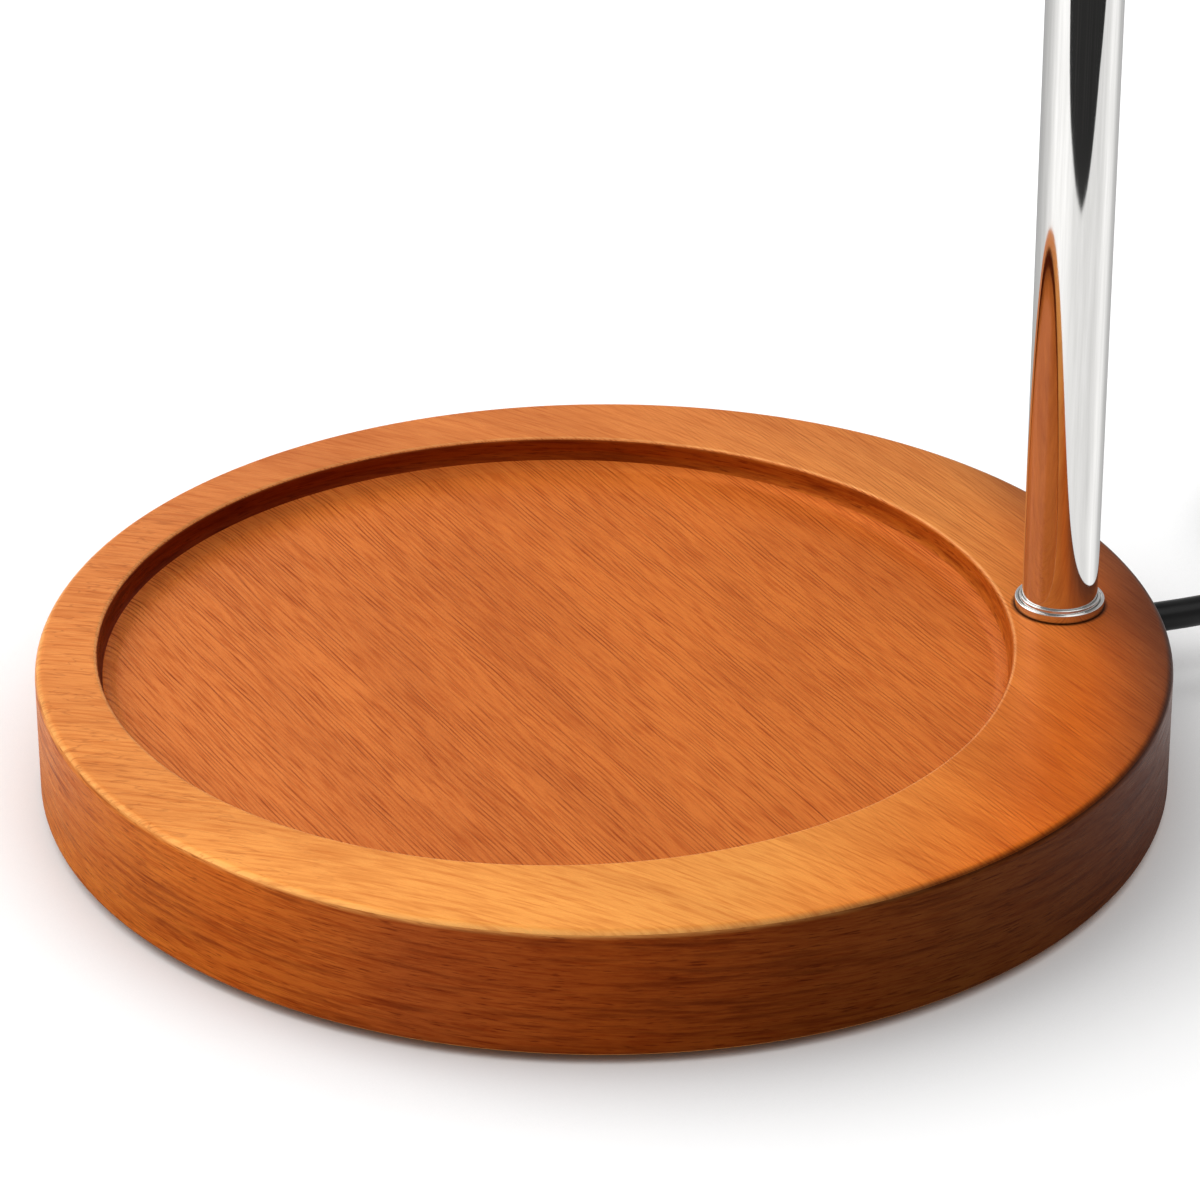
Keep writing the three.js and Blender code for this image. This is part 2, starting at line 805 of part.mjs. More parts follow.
function shade() {
  const outer = shadeDiameter / 2;
  const hole = spigotRadius + slipFit;
  const beadMiddle = outer - shadeWall / 2;
  const bowl = turned([
    [hole, shadeTop - shadeWall],
    ...domeSide(shadeWall).reverse(),
    ...arc(beadMiddle, rimHeight + shadeBead, shadeBead, 150, 390, 4),
    ...domeSide(0),
    [hole, shadeTop],
  ], wideSides);
  const half = ventWidth / 2;
  const straight = ventLength / 2 - half;
  const capsule = [...arc(straight, 0, half, -90, 90), ...arc(-straight, 0, half, 90, 270)];
  const low = shadeTop - shadeHeight / 2;
  const vents = Array.from({ length: ventCount }, (_, i) =>
    slab(capsule, low, shadeTop + overrun)
      .translate(ventCircle / 2, 0, 0)
      .rotateZ((2 * Math.PI * (i + 0.5)) / ventCount));
  return cut(bowl, ...vents);
}

function socketCap() {
  const outer = capDiameter / 2;
  const well = capTop - capCrown - capWellDepth;
  return turned([
    [capBoreRadius, shadeTop - capSpigot],
    [spigotRadius, shadeTop - capSpigot],
    [spigotRadius, shadeTop],
    [outer, shadeTop],
    ...arc(outer - capRound, capTop - capRound, capRound, 0, 90),
    [upperRadius + slipFit, capTop],
    [upperRadius + slipFit, capTop - capCrown],
    [capWellDiameter / 2, capTop - capCrown],
    [capWellDiameter / 2, well],
    [capBoreRadius, well],
  ], poleSides);
}

// The strap hangs the holder under the cap's crown, clamped by the nut on the arm
const strapTop = capTop - capCrown;
const holderScrewX = strapHalfSpan + strapFoot / 2;
const screwHole = holderScrewDiameter / 2 + slipFit;

function holderStrap() {
  const span = strapHalfSpan;
  const wall = strapThickness;
  const foot = span + strapFoot;
  const outline = [
    [-foot, holderTop], [-span + wall, holderTop], [-span + wall, strapTop - wall],
    [span - wall, strapTop - wall], [span - wall, holderTop], [foot, holderTop],
    [foot, holderTop + wall], [span, holderTop + wall], [span, strapTop],
    [-span, strapTop], [-span, holderTop + wall], [-foot, holderTop + wall],
  ];
  const strip = slab(outline, -strapWidth / 2, strapWidth / 2).rotateX(Math.PI / 2);
  const strap = kept(strip, rod(capBoreRadius - slipFit, holderFace, capTop, poleSides));
  const armHole = rod(upperRadius + slipFit, strapTop - wall - overrun, capTop, poleSides);
  const holes = [-1, 1].map((side) =>
    rod(screwHole, holderTop - overrun, holderTop + wall + overrun, screwSides)
      .translate(side * holderScrewX, 0, 0));
  return cut(strap, armHole, ...holes);
}

function lampHolder() {
  const body = rod(holderDiameter / 2, holderFace, holderTop, poleSides);
  const pinHole = rod(pinHeadDiameter / 2 + pinRoom, holderFace - overrun,
    holderFace + pinLength + pinRoom, smallSides);
  const pinHoles = [-1, 1].map((side) => pinHole.clone().translate(0, (side * pinPitch) / 2, 0));
  const depth = holderScrewLength - strapThickness;
  const screwHoles = [-1, 1].map((side) =>
    rod(screwHole, holderTop - depth - overrun, holderTop + overrun, screwSides)
      .translate(side * holderScrewX, 0, 0));
  return cut(body, ...pinHoles, ...screwHoles);
}

function holderScrew() {
  const shank = holderScrewDiameter / 2;
  const seat = holderTop + strapThickness;
  return turned([
    [0, seat - holderScrewLength],
    [shank, seat - holderScrewLength],
    [shank, seat],
    [holderScrewHead / 2, seat],
    [holderScrewHead / 2, seat + holderScrewHeadHeight],
    [0, seat + holderScrewHeadHeight],
  ], screwSides);
}

head.add(
  piece('shade', 'chrome', shade()),
  piece('socket_cap', 'chrome', socketCap()),
  piece('shade_ring', 'chrome', pipe(spigotRadius + slipFit, ringDiameter / 2,
    shadeTop - shadeWall - ringHeight, shadeTop - shadeWall, poleSides)),
  piece('holder_strap', 'steel', holderStrap()),
  piece('cap_nut', 'brass', hexNut(capNutAcrossFlats, capNutThickness, upperRadius + slipFit, 30),
    0, 0, strapTop - strapThickness - capNutThickness),
  piece('lamp_holder', 'ceramic', lampHolder()),
  piece('holder_screw_1', 'steel', holderScrew(), -holderScrewX),
  piece('holder_screw_2', 'steel', holderScrew(), holderScrewX),
);

// Bulb: a pressed glass reflector with a front lens, a halogen capsule and two pins
const bulbFace = bulbTop - bulbLength;
const flareTop = bulbTop - bulbNeckLength;

function reflectorSide(inset) {
  const neck = bulbNeckDiameter / 2 - inset;
  const reach = bulbDiameter / 2 - inset - neck;
  const drop = flareTop - bulbFace - bulbLip;
  return arc(0, 0, 1, 90, 0, 5).map(([x, y]) => [
    neck + reach * x,
    bulbFace + bulbLip + drop * y,
  ]);
}

function bulbReflector() {
  const outer = bulbDiameter / 2;
  const inside = reflectorSide(bulbWall);
  return turned([
    [0, flareTop],
    ...inside,
    [outer - bulbWall, bulbFace],
    [outer, bulbFace],
    ...reflectorSide(0).reverse(),
    [bulbNeckDiameter / 2, bulbTop],
    [0, bulbTop],
  ], poleSides);
}

function bulbLens() {
  const radius = bulbDiameter / 2 - bulbWall - slipFit;
  const dome = arc(0, 0, 1, 90, 0, 3).map(([x, y]) => [radius * x, -lensCrown * y]);
  return turned([...dome, [radius, lensThickness], [0, lensThickness]], poleSides);
}

function bulbCapsule() {
  const radius = capsuleDiameter / 2;
  return turned([
    ...arc(0, radius, radius, -90, 0),
    [radius, capsuleLength],
    [0, capsuleLength],
  ], smallSides);
}

function bulbPin() {
  return turned([
    [0, 0],
    [pinDiameter / 2, 0],
    [pinDiameter / 2, pinLength - pinHeadLength],
    [pinHeadDiameter / 2, pinLength - pinHeadLength],
    [pinHeadDiameter / 2, pinLength],
    [0, pinLength],
  ], smallSides);
}

head.add(
  piece('bulb_reflector', 'mirrorGlass', bulbReflector()),
  piece('bulb_lens', 'glass', bulbLens(), 0, 0, bulbFace),
  piece('bulb_capsule', 'glass', bulbCapsule(), 0, 0, flareTop - capsuleLength),
  piece('bulb_pin_1', 'steel', bulbPin(), 0, -pinPitch / 2, bulbTop),
  piece('bulb_pin_2', 'steel', bulbPin(), 0, pinPitch / 2, bulbTop),
);
lamp.add(head);

// Lead inside the base: strain relief, sheath, terminal block and the leads from it
const sheathEnd = baseRadius - reliefInside - sheathPastRelief;

function strainRelief() {
  const bore = cordRadius + slipFit;
  const face = baseRadius + reliefFlange;
  const flange = reliefFlangeDiameter / 2;
  const shell = turned([
    [bore, baseRadius - reliefInside],
    [reliefTip / 2, baseRadius - reliefInside],
    [reliefDiameter / 2 - runFit, baseRadius - reliefInside / 2],
    [reliefDiameter / 2 - runFit, baseRadius + seatGap],
    [flange, baseRadius + seatGap],
    ...arc(flange - reliefRound, face - reliefRound, reliefRound, 0, 90, 2),
    [bore, face],
  ], smallSides);
  return radialBar(shell);
}

function terminalBlock() {
  const half = blockBarrelPitch / 2;
  const base = box(blockLength - 2 * blockEndInset, blockWidth, -blockBase, 0);
  const barrelMiddle = blockBarrelDiameter / 2 - blockHeight;
  const barrels = [-half, half].map((y) =>
    rod(blockBarrelDiameter / 2, -blockLength / 2, blockLength / 2, smallSides)
      .rotateY(Math.PI / 2).translate(0, y, barrelMiddle));
  const well = rod(blockWellDiameter / 2, -blockHeight - overrun, blockWellDepth - blockHeight,
    screwSides);
  const wells = [-half, half].flatMap((y) => [-1, 1].map((side) =>
    well.clone().translate((side * blockLength) / 4, y, 0)));
  return cut(joined(base, ...barrels), ...wells);
}

// A lead through hand-chosen points
function lead(points, diameter, sides, stepShare) {
  const path = new THREE.CatmullRomCurve3(points.map((p) => new THREE.Vector3(...p)));
  const steps = Math.ceil(path.getLength() / (stepShare * diameter));
  return along(path, diameter / 2, steps, sides);
}

function onCordLine(radius, z) {
  return [radius * Math.cos(cordTurn), radius * Math.sin(cordTurn), z];
}

// Both leads in the pocket are drawn from the pocket's middle
const blockPlace = pocketInset - blockInset;
const blockEnd = blockPlace + blockLength / 2;
const poleInPocket = poleX - pocketX;
const [wireX, wireY] = onCordLine(sheathEnd - seatGap, cordHeight);
const blockWireHeight = pocketCeiling - blockHeight / 2;
const poleLeadStart = washerBottom;
const supplyRoute = [
  [wireX - pocketX, wireY, cordHeight],
  [12.5, 8.4, 10.9],
  [7.6, 5.2, 9.7],
  [4.6, 4.2, blockWireHeight],
  [blockEnd + seatGap, blockBarrelPitch / 2, blockWireHeight],
];
const blockLeadRoute = [
  [blockEnd + seatGap, -blockBarrelPitch / 2, blockWireHeight],
  [4.8, -4.2, 9.1],
  [8, -3.8, 7.8],
  [11.2, -2.8, 5.8],
  [15, -1.4, 4.6],
  [18.6, -0.3, 4.5],
  [21, 0, 5.3],
  [22.1, 0, 7.2],
  [poleInPocket, 0, 9.4],
  [poleInPocket, 0, poleLeadStart - seatGap],
];

lamp.add(
  piece('strain_relief', 'rubber', strainRelief(), 0, 0, cordHeight),
  piece('inner_sheath', 'black',
    radialBar(rod(cordRadius, sheathEnd, baseRadius + reliefFlange, smallSides)),
    0, 0, cordHeight),
  piece('terminal_block', 'nylon', terminalBlock(), pocketX + blockPlace, 0, pocketCeiling),
  piece('supply_wire', 'redWire', lead(supplyRoute, wireDiameter, wireSides, wireStepShare),
    pocketX),
  piece('block_lead', 'silicone', lead(blockLeadRoute, leadDiameter, wireSides, wireStepShare),
    pocketX),
  piece('pole_lead', 'silicone', rod(leadDiameter / 2, poleLeadStart, leadJoin, screwSides), poleX),
);

// Free lead to the dimmer: out of the base, down to the table and round to the left
const dimmerFront = dimmerY - dimmerLength / 2;
const dimmerBack = dimmerY + dimmerLength / 2;
const cordExit = baseRadius + reliefFlange + seatGap;

function cord(points) {
  return lead(points, cordDiameter, screwSides, cordStepShare);
}

const cordToDimmerRoute = [
  onCordLine(cordExit, cordHeight),
  onCordLine(99.7, cordHeight),
  onCordLine(107, cordHeight),
  [113.9, 14.2, 10.8],
  [121.2, 11, 9.6],
  [126.9, 5.5, 7.7],
  [130.3, -1.7, 5.5],
  [130.9, -9.6, 3.9],
  [129.6, -21.6, 2.7],
  [128.3, -33.7, cordRest],
  [127, -45.7, cordRest],
  [125.7, -57.7, cordRest],
  [124.4, -69.7, cordRest],
  [123.1, -81.7, cordRest],
  [123.7, -89.4, cordRest],
  [126.9, -96.4, cordRest],
  [132.4, -101.8, cordRest],
  [139.5, -104.9, cordRest],
  [147.2, -105.3, 2.9],
  [154.6, -103, 4],
  [160.6, -98.2, 5.9],
  [164.6, -91.6, 8.1],
  [dimmerX, -84, 9.5],
  [dimmerX, -79.2, 9.9],
  [dimmerX, dimmerFront - seatGap, dimmerMiddle],
];

lamp.add(piece('cord_to_dimmer', 'black', cord(cordToDimmerRoute)));

// Dimmer: two moulded shells, screwed together, round a board and a thumb wheel
function dimmerOutline(inset) {
  return roundedRectangle(dimmerWidth, dimmerLength, dimmerCorner, inset);
}

const screwPlaces = [[-dimmerScrewX, -dimmerScrewY], [dimmerScrewX, dimmerScrewY]];

function dimmerShell(postPlaces) {
  const shell = stacked([
    [dimmerOutline(dimmerEdge), 0],
    [dimmerOutline(dimmerEdge / 4), dimmerEdge / 3],
    [dimmerOutline(0), dimmerEdge],
    [dimmerOutline(0), dimmerMiddle],
  ]);
  const hollow = stacked([
    [dimmerOutline(dimmerWall + dimmerEdge / 2), dimmerWall],
    [dimmerOutline(dimmerWall), dimmerWall + dimmerEdge / 2],
    [dimmerOutline(dimmerWall), dimmerMiddle + overrun],
  ]);
  const posts = postPlaces.map(([x, y]) =>
    rod(dimmerPost / 2, dimmerWall / 2, dimmerMiddle, smallSides).translate(x, y, 0));
  const cordHole = rod(cordRadius + slipFit, -dimmerLength, dimmerLength, smallSides)
    .rotateX(Math.PI / 2).translate(0, 0, dimmerMiddle);
  const slotHalf = wheelThickness / 2 + wheelRoom;
  const slot = rod(wheelDiameter / 2 + wheelRoom, dimmerMiddle - slotHalf,
    dimmerMiddle + slotHalf, poleSides).translate(wheelOffset, 0, 0);
  return cut(joined(cut(shell, hollow, cordHole), ...posts), slot);
}

function dimmerBase() {
  const screwHoles = screwPlaces.flatMap(([x, y]) => [
    rod(dimmerScrewDiameter / 2 + slipFit, -overrun, dimmerMiddle + overrun, screwSides),
    rod(dimmerScrewHead / 2 + slipFit, -overrun, dimmerScrewHeadHeight + seatGap, screwSides),
  ].map((hole) => hole.translate(x, y, 0)));
  return cut(dimmerShell(screwPlaces), ...screwHoles);
}

// The cover is drawn upside down, so its posts change sides with the end they stand at
function dimmerCover() {
  const depth = dimmerScrewLength + seatGap + dimmerScrewHeadHeight - dimmerMiddle + overrun;
  const places = screwPlaces.map(([x, y]) => [x, -y]);
  const radius = dimmerScrewDiameter / 2 + slipFit;
  const holes = places.map(([x, y]) =>
    rod(radius, dimmerMiddle - depth, dimmerMiddle + overrun, screwSides).translate(x, y, 0));
  return cut(dimmerShell(places), ...holes).rotateX(Math.PI).translate(0, 0, dimmerHeight);
}

function dimmerScrew() {
  const bottom = seatGap;
  const seat = bottom + dimmerScrewHeadHeight;
  return turned([
    [0, bottom],
    [dimmerScrewHead / 2, bottom],
    [dimmerScrewHead / 2, seat],
    [dimmerScrewDiameter / 2, seat],
    [dimmerScrewDiameter / 2, seat + dimmerScrewLength],
    [0, seat + dimmerScrewLength],
  ], screwSides);
}

function dimmerBoard() {
  const bottom = dimmerWall + boardRise;
  const top = bottom + boardThickness;
  const width = dimmerWidth - 2 * (dimmerWall + dimmerEdge / 2 + boardEdgeGap);
  const wheelBottom = dimmerMiddle - wheelThickness / 2;
  const board = box(width, boardLength, bottom, top);
  const pot = box(potSize, potSize, top - boardThickness / 2, wheelBottom - faceGap)
    .translate(wheelOffset, 0, 0);
  const post = rod(wheelHub / 2, top, dimmerMiddle + wheelThickness / 2, smallSides)
    .translate(wheelOffset, 0, 0);
  const choke = rod(chokeDiameter / 2, -chokeLength / 2, chokeLength / 2, screwSides)
    .rotateY(Math.PI / 2);
  const chokeY = boardLength / 2 - chokeDiameter / 2;
  const chokes = [-chokeY, chokeY].map((y) =>
    choke.clone().translate(0, y, top + chokeDiameter / 4));
  return joined(board, pot, post, ...chokes);
}

function dimmerWheel() {
  const rim = ribbed(wheelDiameter / 2, wheelRibDepth, wheelRibCount);
  const disc = slab(rim, -wheelThickness / 2, wheelThickness / 2);
  return cut(disc, rod(wheelHub / 2 + runFit, -wheelThickness, wheelThickness, smallSides));
}

const dimmer = new THREE.Group();
dimmer.position.set(dimmerX, dimmerY, 0);
dimmer.add(
  piece('dimmer_base', 'black', dimmerBase()),
  piece('dimmer_cover', 'black', dimmerCover()),
  piece('dimmer_board', 'board', dimmerBoard()),
  piece('dimmer_wheel', 'black', dimmerWheel(), wheelOffset, 0, dimmerMiddle),
  piece('dimmer_screw_1', 'steel', dimmerScrew(), ...screwPlaces[0]),
  piece('dimmer_screw_2', 'steel', dimmerScrew(), ...screwPlaces[1]),
);
lamp.add(dimmer);

// Wound lead: spirals in on the table, climbs in the half turn where the spiral
// reverses, and spirals out on top; each end runs straight for one diameter
class CoilPath extends THREE.Curve {
  getPoint(t, target = new THREE.Vector3()) {
    const turn = t * coilTurns;
    const inward = Math.min(turn, coilTurns - turn);
    const radius = coilOuterDiameter / 2 - coilPitch * inward;
    const climb = THREE.MathUtils.clamp((turn - coilTurns / 2) * 2 + 0.5, 0, 1);
    const angle = Math.PI - 2 * Math.PI * turn;
    const z = cordRest + coilLayerRise * climb;
    return target.set(coilX + radius * Math.cos(angle), coilY + radius * Math.sin(angle), z);
  }
}

const coilPath = new CoilPath();
const coilSteps = coilPointsPerTurn * coilTurns;

function coilEnd(at, way) {
  const point = coilPath.getPoint(at);
  return point.clone().addScaledVector(coilPath.getTangent(at), way * cordDiameter);
}

function coilLine() {
  const turns = Array.from({ length: coilSteps + 1 }, (_, i) => coilPath.getPoint(i / coilSteps));
  return [coilEnd(0, -1), ...turns, coilEnd(1, 1)];
}

function cordRing(points, i, sides) {
  const ahead = points[Math.min(i + 1, points.length - 1)];
  const heading = ahead.clone().sub(points[Math.max(i - 1, 0)]).setZ(0).normalize();
  const side = new THREE.Vector3(-heading.y, heading.x, 0);
  return circle(cordRadius, sides).map(([x, z]) => {
    const p = points[i].clone().addScaledVector(side, x);
    return [p.x, p.y, p.z + z];
  });
}

function coilGap(points) {
  let least = Infinity;
  const near = coilPointsPerTurn / 2;
  for (let i = 0; i < points.length; i += 1) {
    for (let j = i + near; j < points.length; j += 1) {
      least = Math.min(least, points[i].distanceTo(points[j]));
    }
  }
  return least - cordDiameter;
}

const coilPoints = coilLine();
console.log(`least gap between the turns of the wound lead: ${coilGap(coilPoints).toFixed(2)} mm`);
const coilStart = coilPoints[0];
const coilFinish = coilPoints.at(-1);
const coil = lofted(coilPoints.map((_, i) => cordRing(coilPoints, i, wireSides)));

const cordToCoilRoute = [
  [dimmerX, dimmerBack + seatGap, dimmerMiddle],
  [dimmerX, -6.7, 9.9],
  [165, 0.4, 9.2],
  [161.9, 7, 7.9],
  [157.1, 12.4, 6],
  [151, 16.2, 4.2],
  [144, 18.1, 3.1],
  [137, 20, cordRest],
  [130.9, 23.8, cordRest],
  [126.1, 29.2, cordRest],
  [123, 35.8, cordRest],
  [122, 42.9, cordRest],
  [coilStart.x, coilStart.y - seatGap, cordRest],
];
const plugRear = plugFrontY + plugLength;
const plugX = coilX + coilOuterDiameter / 2;
const plugMiddle = plugThickness / 2;
const cordTailRoute = [
  [coilFinish.x, coilFinish.y - seatGap, coilFinish.z],
  [plugX, (coilFinish.y + plugRear) / 2, (coilFinish.z + plugMiddle) / 2],
  [plugX, plugRear + seatGap, plugMiddle],
];

lamp.add(
  piece('cord_to_coil', 'black', cord(cordToCoilRoute)),
  piece('cord_coil', 'black', coil),
  piece('cord_tail', 'black', cord(cordTailRoute)),
);

// Plug: a moulded body with a tapered neck and two flat blades
const bladePlaces = [-bladePitch / 2, bladePitch / 2];

function plugSection(halfWidth, halfHeight, squareness, y) {
  return circle(1, 16).map(([x, z]) => [
    halfWidth * Math.sign(x) * Math.abs(x) ** squareness,
    y,
    halfHeight * Math.sign(z) * Math.abs(z) ** squareness,
  ]);
}

function plugBody() {
  const neck = plugNeckDiameter / 2;
  const wide = plugWidth / 2;
  const high = plugThickness / 2;
  const front = plugFrontY;
  const rear = plugRear;
  const rings = [
    plugSection(neck - plugEdge / 2, neck - plugEdge / 2, 1, rear),
    plugSection(neck, neck, 1, rear - plugNeckLength / 2),
    plugSection(neck + plugEdge / 2, neck + plugEdge / 2, 1, rear - plugNeckLength),
    plugSection(wide - plugEdge, high - plugEdge, shoulderSquareness, rear - plugNeckLength - plugShoulder),
    plugSection(wide, high, plugSquareness, front + 2 * plugEdge),
    plugSection(wide, high, plugSquareness, front + plugEdge),
    plugSection(wide - plugEdge, high - plugEdge, plugSquareness, front),
  ];
  const body = lofted(rings);
  const slots = bladePlaces.map((x) =>
    box(bladeThickness + 2 * slipFit, bladeSunk + overrun, -bladeWidth / 2 - slipFit,
      bladeWidth / 2 + slipFit).translate(x, front + (bladeSunk - overrun) / 2, 0));
  return cut(body, ...slots);
}

function plugBlade() {
  const tip = bladeThickness / 2;
  const root = plugFrontY + bladeSunk - slipFit;
  const end = plugFrontY - bladeLength;
  const half = bladeWidth / 2;
  const outline = [
    [root, -half], [root, half], [end + tip, half], [end, half - tip],
    [end, tip - half], [end + tip, -half],
  ];
  return slab(outline, -tip, tip).rotateY(-Math.PI / 2).rotateX(-Math.PI / 2);
}

const plug = new THREE.Group();
plug.position.set(plugX, 0, plugMiddle);
plug.add(
  piece('plug_body', 'black', plugBody()),
  piece('plug_blade_1', 'brass', plugBlade(), bladePlaces[0]),
  piece('plug_blade_2', 'brass', plugBlade(), bladePlaces[1]),
);
lamp.add(plug);

export default lamp;
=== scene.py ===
"""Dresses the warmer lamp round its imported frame, in the order in which it is put together.

Lengths are written in millimetres and turned into metres by mm.
"""

import json
import math

import bmesh
import bpy
import numpy as np
from mathutils import Matrix, Vector

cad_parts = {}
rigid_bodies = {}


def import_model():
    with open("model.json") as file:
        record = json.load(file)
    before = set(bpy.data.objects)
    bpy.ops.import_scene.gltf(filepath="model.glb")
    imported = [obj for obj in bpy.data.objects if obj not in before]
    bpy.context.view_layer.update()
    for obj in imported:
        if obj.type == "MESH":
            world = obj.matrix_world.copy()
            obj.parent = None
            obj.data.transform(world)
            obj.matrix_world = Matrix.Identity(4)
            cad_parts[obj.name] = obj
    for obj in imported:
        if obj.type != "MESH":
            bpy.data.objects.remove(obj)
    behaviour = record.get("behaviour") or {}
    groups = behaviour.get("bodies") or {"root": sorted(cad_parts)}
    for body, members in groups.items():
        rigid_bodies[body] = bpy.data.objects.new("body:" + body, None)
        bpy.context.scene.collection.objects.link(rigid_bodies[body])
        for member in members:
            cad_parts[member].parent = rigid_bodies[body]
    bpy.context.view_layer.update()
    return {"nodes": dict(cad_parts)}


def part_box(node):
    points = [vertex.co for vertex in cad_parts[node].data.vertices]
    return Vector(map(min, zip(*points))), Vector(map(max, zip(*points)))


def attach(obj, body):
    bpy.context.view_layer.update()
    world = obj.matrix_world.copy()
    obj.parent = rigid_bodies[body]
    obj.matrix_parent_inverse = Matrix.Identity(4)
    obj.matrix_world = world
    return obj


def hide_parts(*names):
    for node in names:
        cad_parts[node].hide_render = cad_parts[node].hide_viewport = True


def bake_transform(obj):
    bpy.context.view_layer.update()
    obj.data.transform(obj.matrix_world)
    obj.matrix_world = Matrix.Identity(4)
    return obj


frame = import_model()
mm = 0.001

# Base plate: one board of hardwood turned to a disc, with an off-centre tray turned
# into its top and a round pocket routed into its underside for the wiring.
# It is stained reddish brown and sprayed with a satin varnish.
base_radius, base_bottom, base_top = 90 * mm, 1.2 * mm, 22.2 * mm
base_sides = 256
tray_place = (-7.2 * mm, 3.8 * mm)
tray_radius, tray_floor = 72.6 * mm, 17.1 * mm
pocket_x, pocket_radius, pocket_ceiling = 52 * mm, 30 * mm, 12.7 * mm
cover_seat, rebate_radius = 2.8 * mm, 35.3 * mm
pole_x, nipple_bore, collar_radius = 74.3 * mm, 4.15 * mm, 7.2 * mm
cord_turn, cord_height = math.radians(7.8), 11.4 * mm
cord_bore, cord_bore_depth = 4.05 * mm, 26 * mm
foot_out, foot_recess, foot_seat = 53.74 * mm, 7.05 * mm, 2.2 * mm
foot_places = [(foot_out * a, foot_out * b) for a, b in ((1, 1), (-1, 1), (-1, -1), (1, -1))]
screw_circle, screw_hole, screw_hole_end = 32.5 * mm, 1.35 * mm, 10.2 * mm
screw_places = [
    (pocket_x + screw_circle * math.cos(turn), screw_circle * math.sin(turn))
    for turn in (math.pi / 2, math.pi * 7 / 6, math.pi * 11 / 6)
]
past = 1 * mm  # how far a cutter reaches past the face that it starts from


def tint(red, green, blue):
    """A colour as a paint chart gives it, 0 to 255, as light values."""
    shares = [c / 255 for c in (red, green, blue)]
    return [c / 12.92 if c < 0.04045 else ((c + 0.055) / 1.055) ** 2.4 for c in shares] + [1]


def rounded(corners, steps=6):
    """A profile of [radius, height] points from corners, each with the radius of its rounding."""
    points = []
    for i, (r, z, fillet) in enumerate(corners):
        here = Vector((r, z))
        if fillet == 0:
            points.append((r, z))
            continue
        before = (Vector(corners[i - 1][:2]) - here).normalized()
        after = (Vector(corners[(i + 1) % len(corners)][:2]) - here).normalized()
        half = before.angle(after) / 2
        middle = here + (before + after).normalized() * fillet / math.sin(half)
        start = here + before * fillet / math.tan(half) - middle
        end = here + after * fillet / math.tan(half) - middle
        for k in range(steps + 1):
            spoke = start.lerp(end, k / steps).normalized() * fillet
            points.append(tuple(middle + spoke))
    return points


def skin(rings, joined=False):
    """Points and faces over rings with as many points each, capped or joined at the ends."""
    count, last = len(rings[0]), len(rings)
    faces = []
    for i in range(last if joined else last - 1):
        a, b = i * count, (i + 1) % last * count
        for j in range(count):
            k = (j + 1) % count
            faces.append((a + j, a + k, b + k, b + j))
    if not joined:
        faces.append(tuple(reversed(range(count))))
        faces.append(tuple(range((last - 1) * count, last * count)))
    return [tuple(p) for ring in rings for p in ring], faces


def shaped(name, points, faces, sharp=32):
    """A piece from its points and faces, smooth but for its sharp edges."""
    mesh = bpy.data.meshes.new(name)
    mesh.from_pydata(points, [], faces)
    edit = bmesh.new()
    edit.from_mesh(mesh)
    bmesh.ops.recalc_face_normals(edit, faces=edit.faces)
    edit.to_mesh(mesh)
    edit.free()
    mesh.shade_smooth()
    mesh.set_sharp_from_angle(angle=math.radians(sharp))
    piece = bpy.data.objects.new(name, mesh)
    bpy.context.scene.collection.objects.link(piece)
    return piece


def turned(name, profile, sides=96, x=0.0, y=0.0):
    """A piece turned round an upright axis. A profile that meets the axis is solid there."""
    joined = profile[0][0] > 0 and profile[-1][0] > 0
    spokes = [(math.cos(t), math.sin(t)) for t in np.arange(sides) * 2 * math.pi / sides]
    rings = [[(x + r * c, y + r * s, z) for c, s in spokes] for r, z in profile if r > 0]
    return shaped(name, *skin(rings, joined))


def rod(radius, bottom, top, sides=64, x=0.0, y=0.0):
    """A plain bar, which cuts a hole or stands as a post."""
    return turned("cutter", [(0, bottom), (radius, bottom), (radius, top), (0, top)], sides, x, y)


def lying(piece, turn=0.0, place=(0, 0, 0)):
    """Lays a piece that was turned upright down along +X, then turns it round the upright axis."""
    flat = Matrix.Rotation(math.pi / 2, 4, "Y")
    piece.data.transform(Matrix.Translation(place) @ Matrix.Rotation(turn, 4, "Z") @ flat)
    return piece


def machined(piece, *cutters, operation="DIFFERENCE", sharp=32):
    """Cuts the cutters out of a piece, or adds them to it, and clears them away."""
    for cutter in cutters:
        step = piece.modifiers.new("cut", "BOOLEAN")
        step.object, step.operation, step.solver = cutter, operation, "EXACT"
    done = piece.evaluated_get(bpy.context.evaluated_depsgraph_get())
    mesh = bpy.data.meshes.new_from_object(done)
    piece.modifiers.clear()
    piece.data = mesh
    mesh.shade_smooth()
    mesh.set_sharp_from_angle(angle=math.radians(sharp))
    for cutter in cutters:
        bpy.data.objects.remove(cutter)
    return piece


def fitted(piece, finish, body, slot, *nodes):
    """Gives a piece its finish, the body that it moves with and the nodes that it stands for."""
    piece.data.materials.clear()
    piece.data.materials.append(finish.material)
    if piece.type == "MESH":
        piece.modifiers.new("even_faces", "WEIGHTED_NORMAL").keep_sharp = True
    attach(piece, body)
    if nodes:
        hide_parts(*nodes)


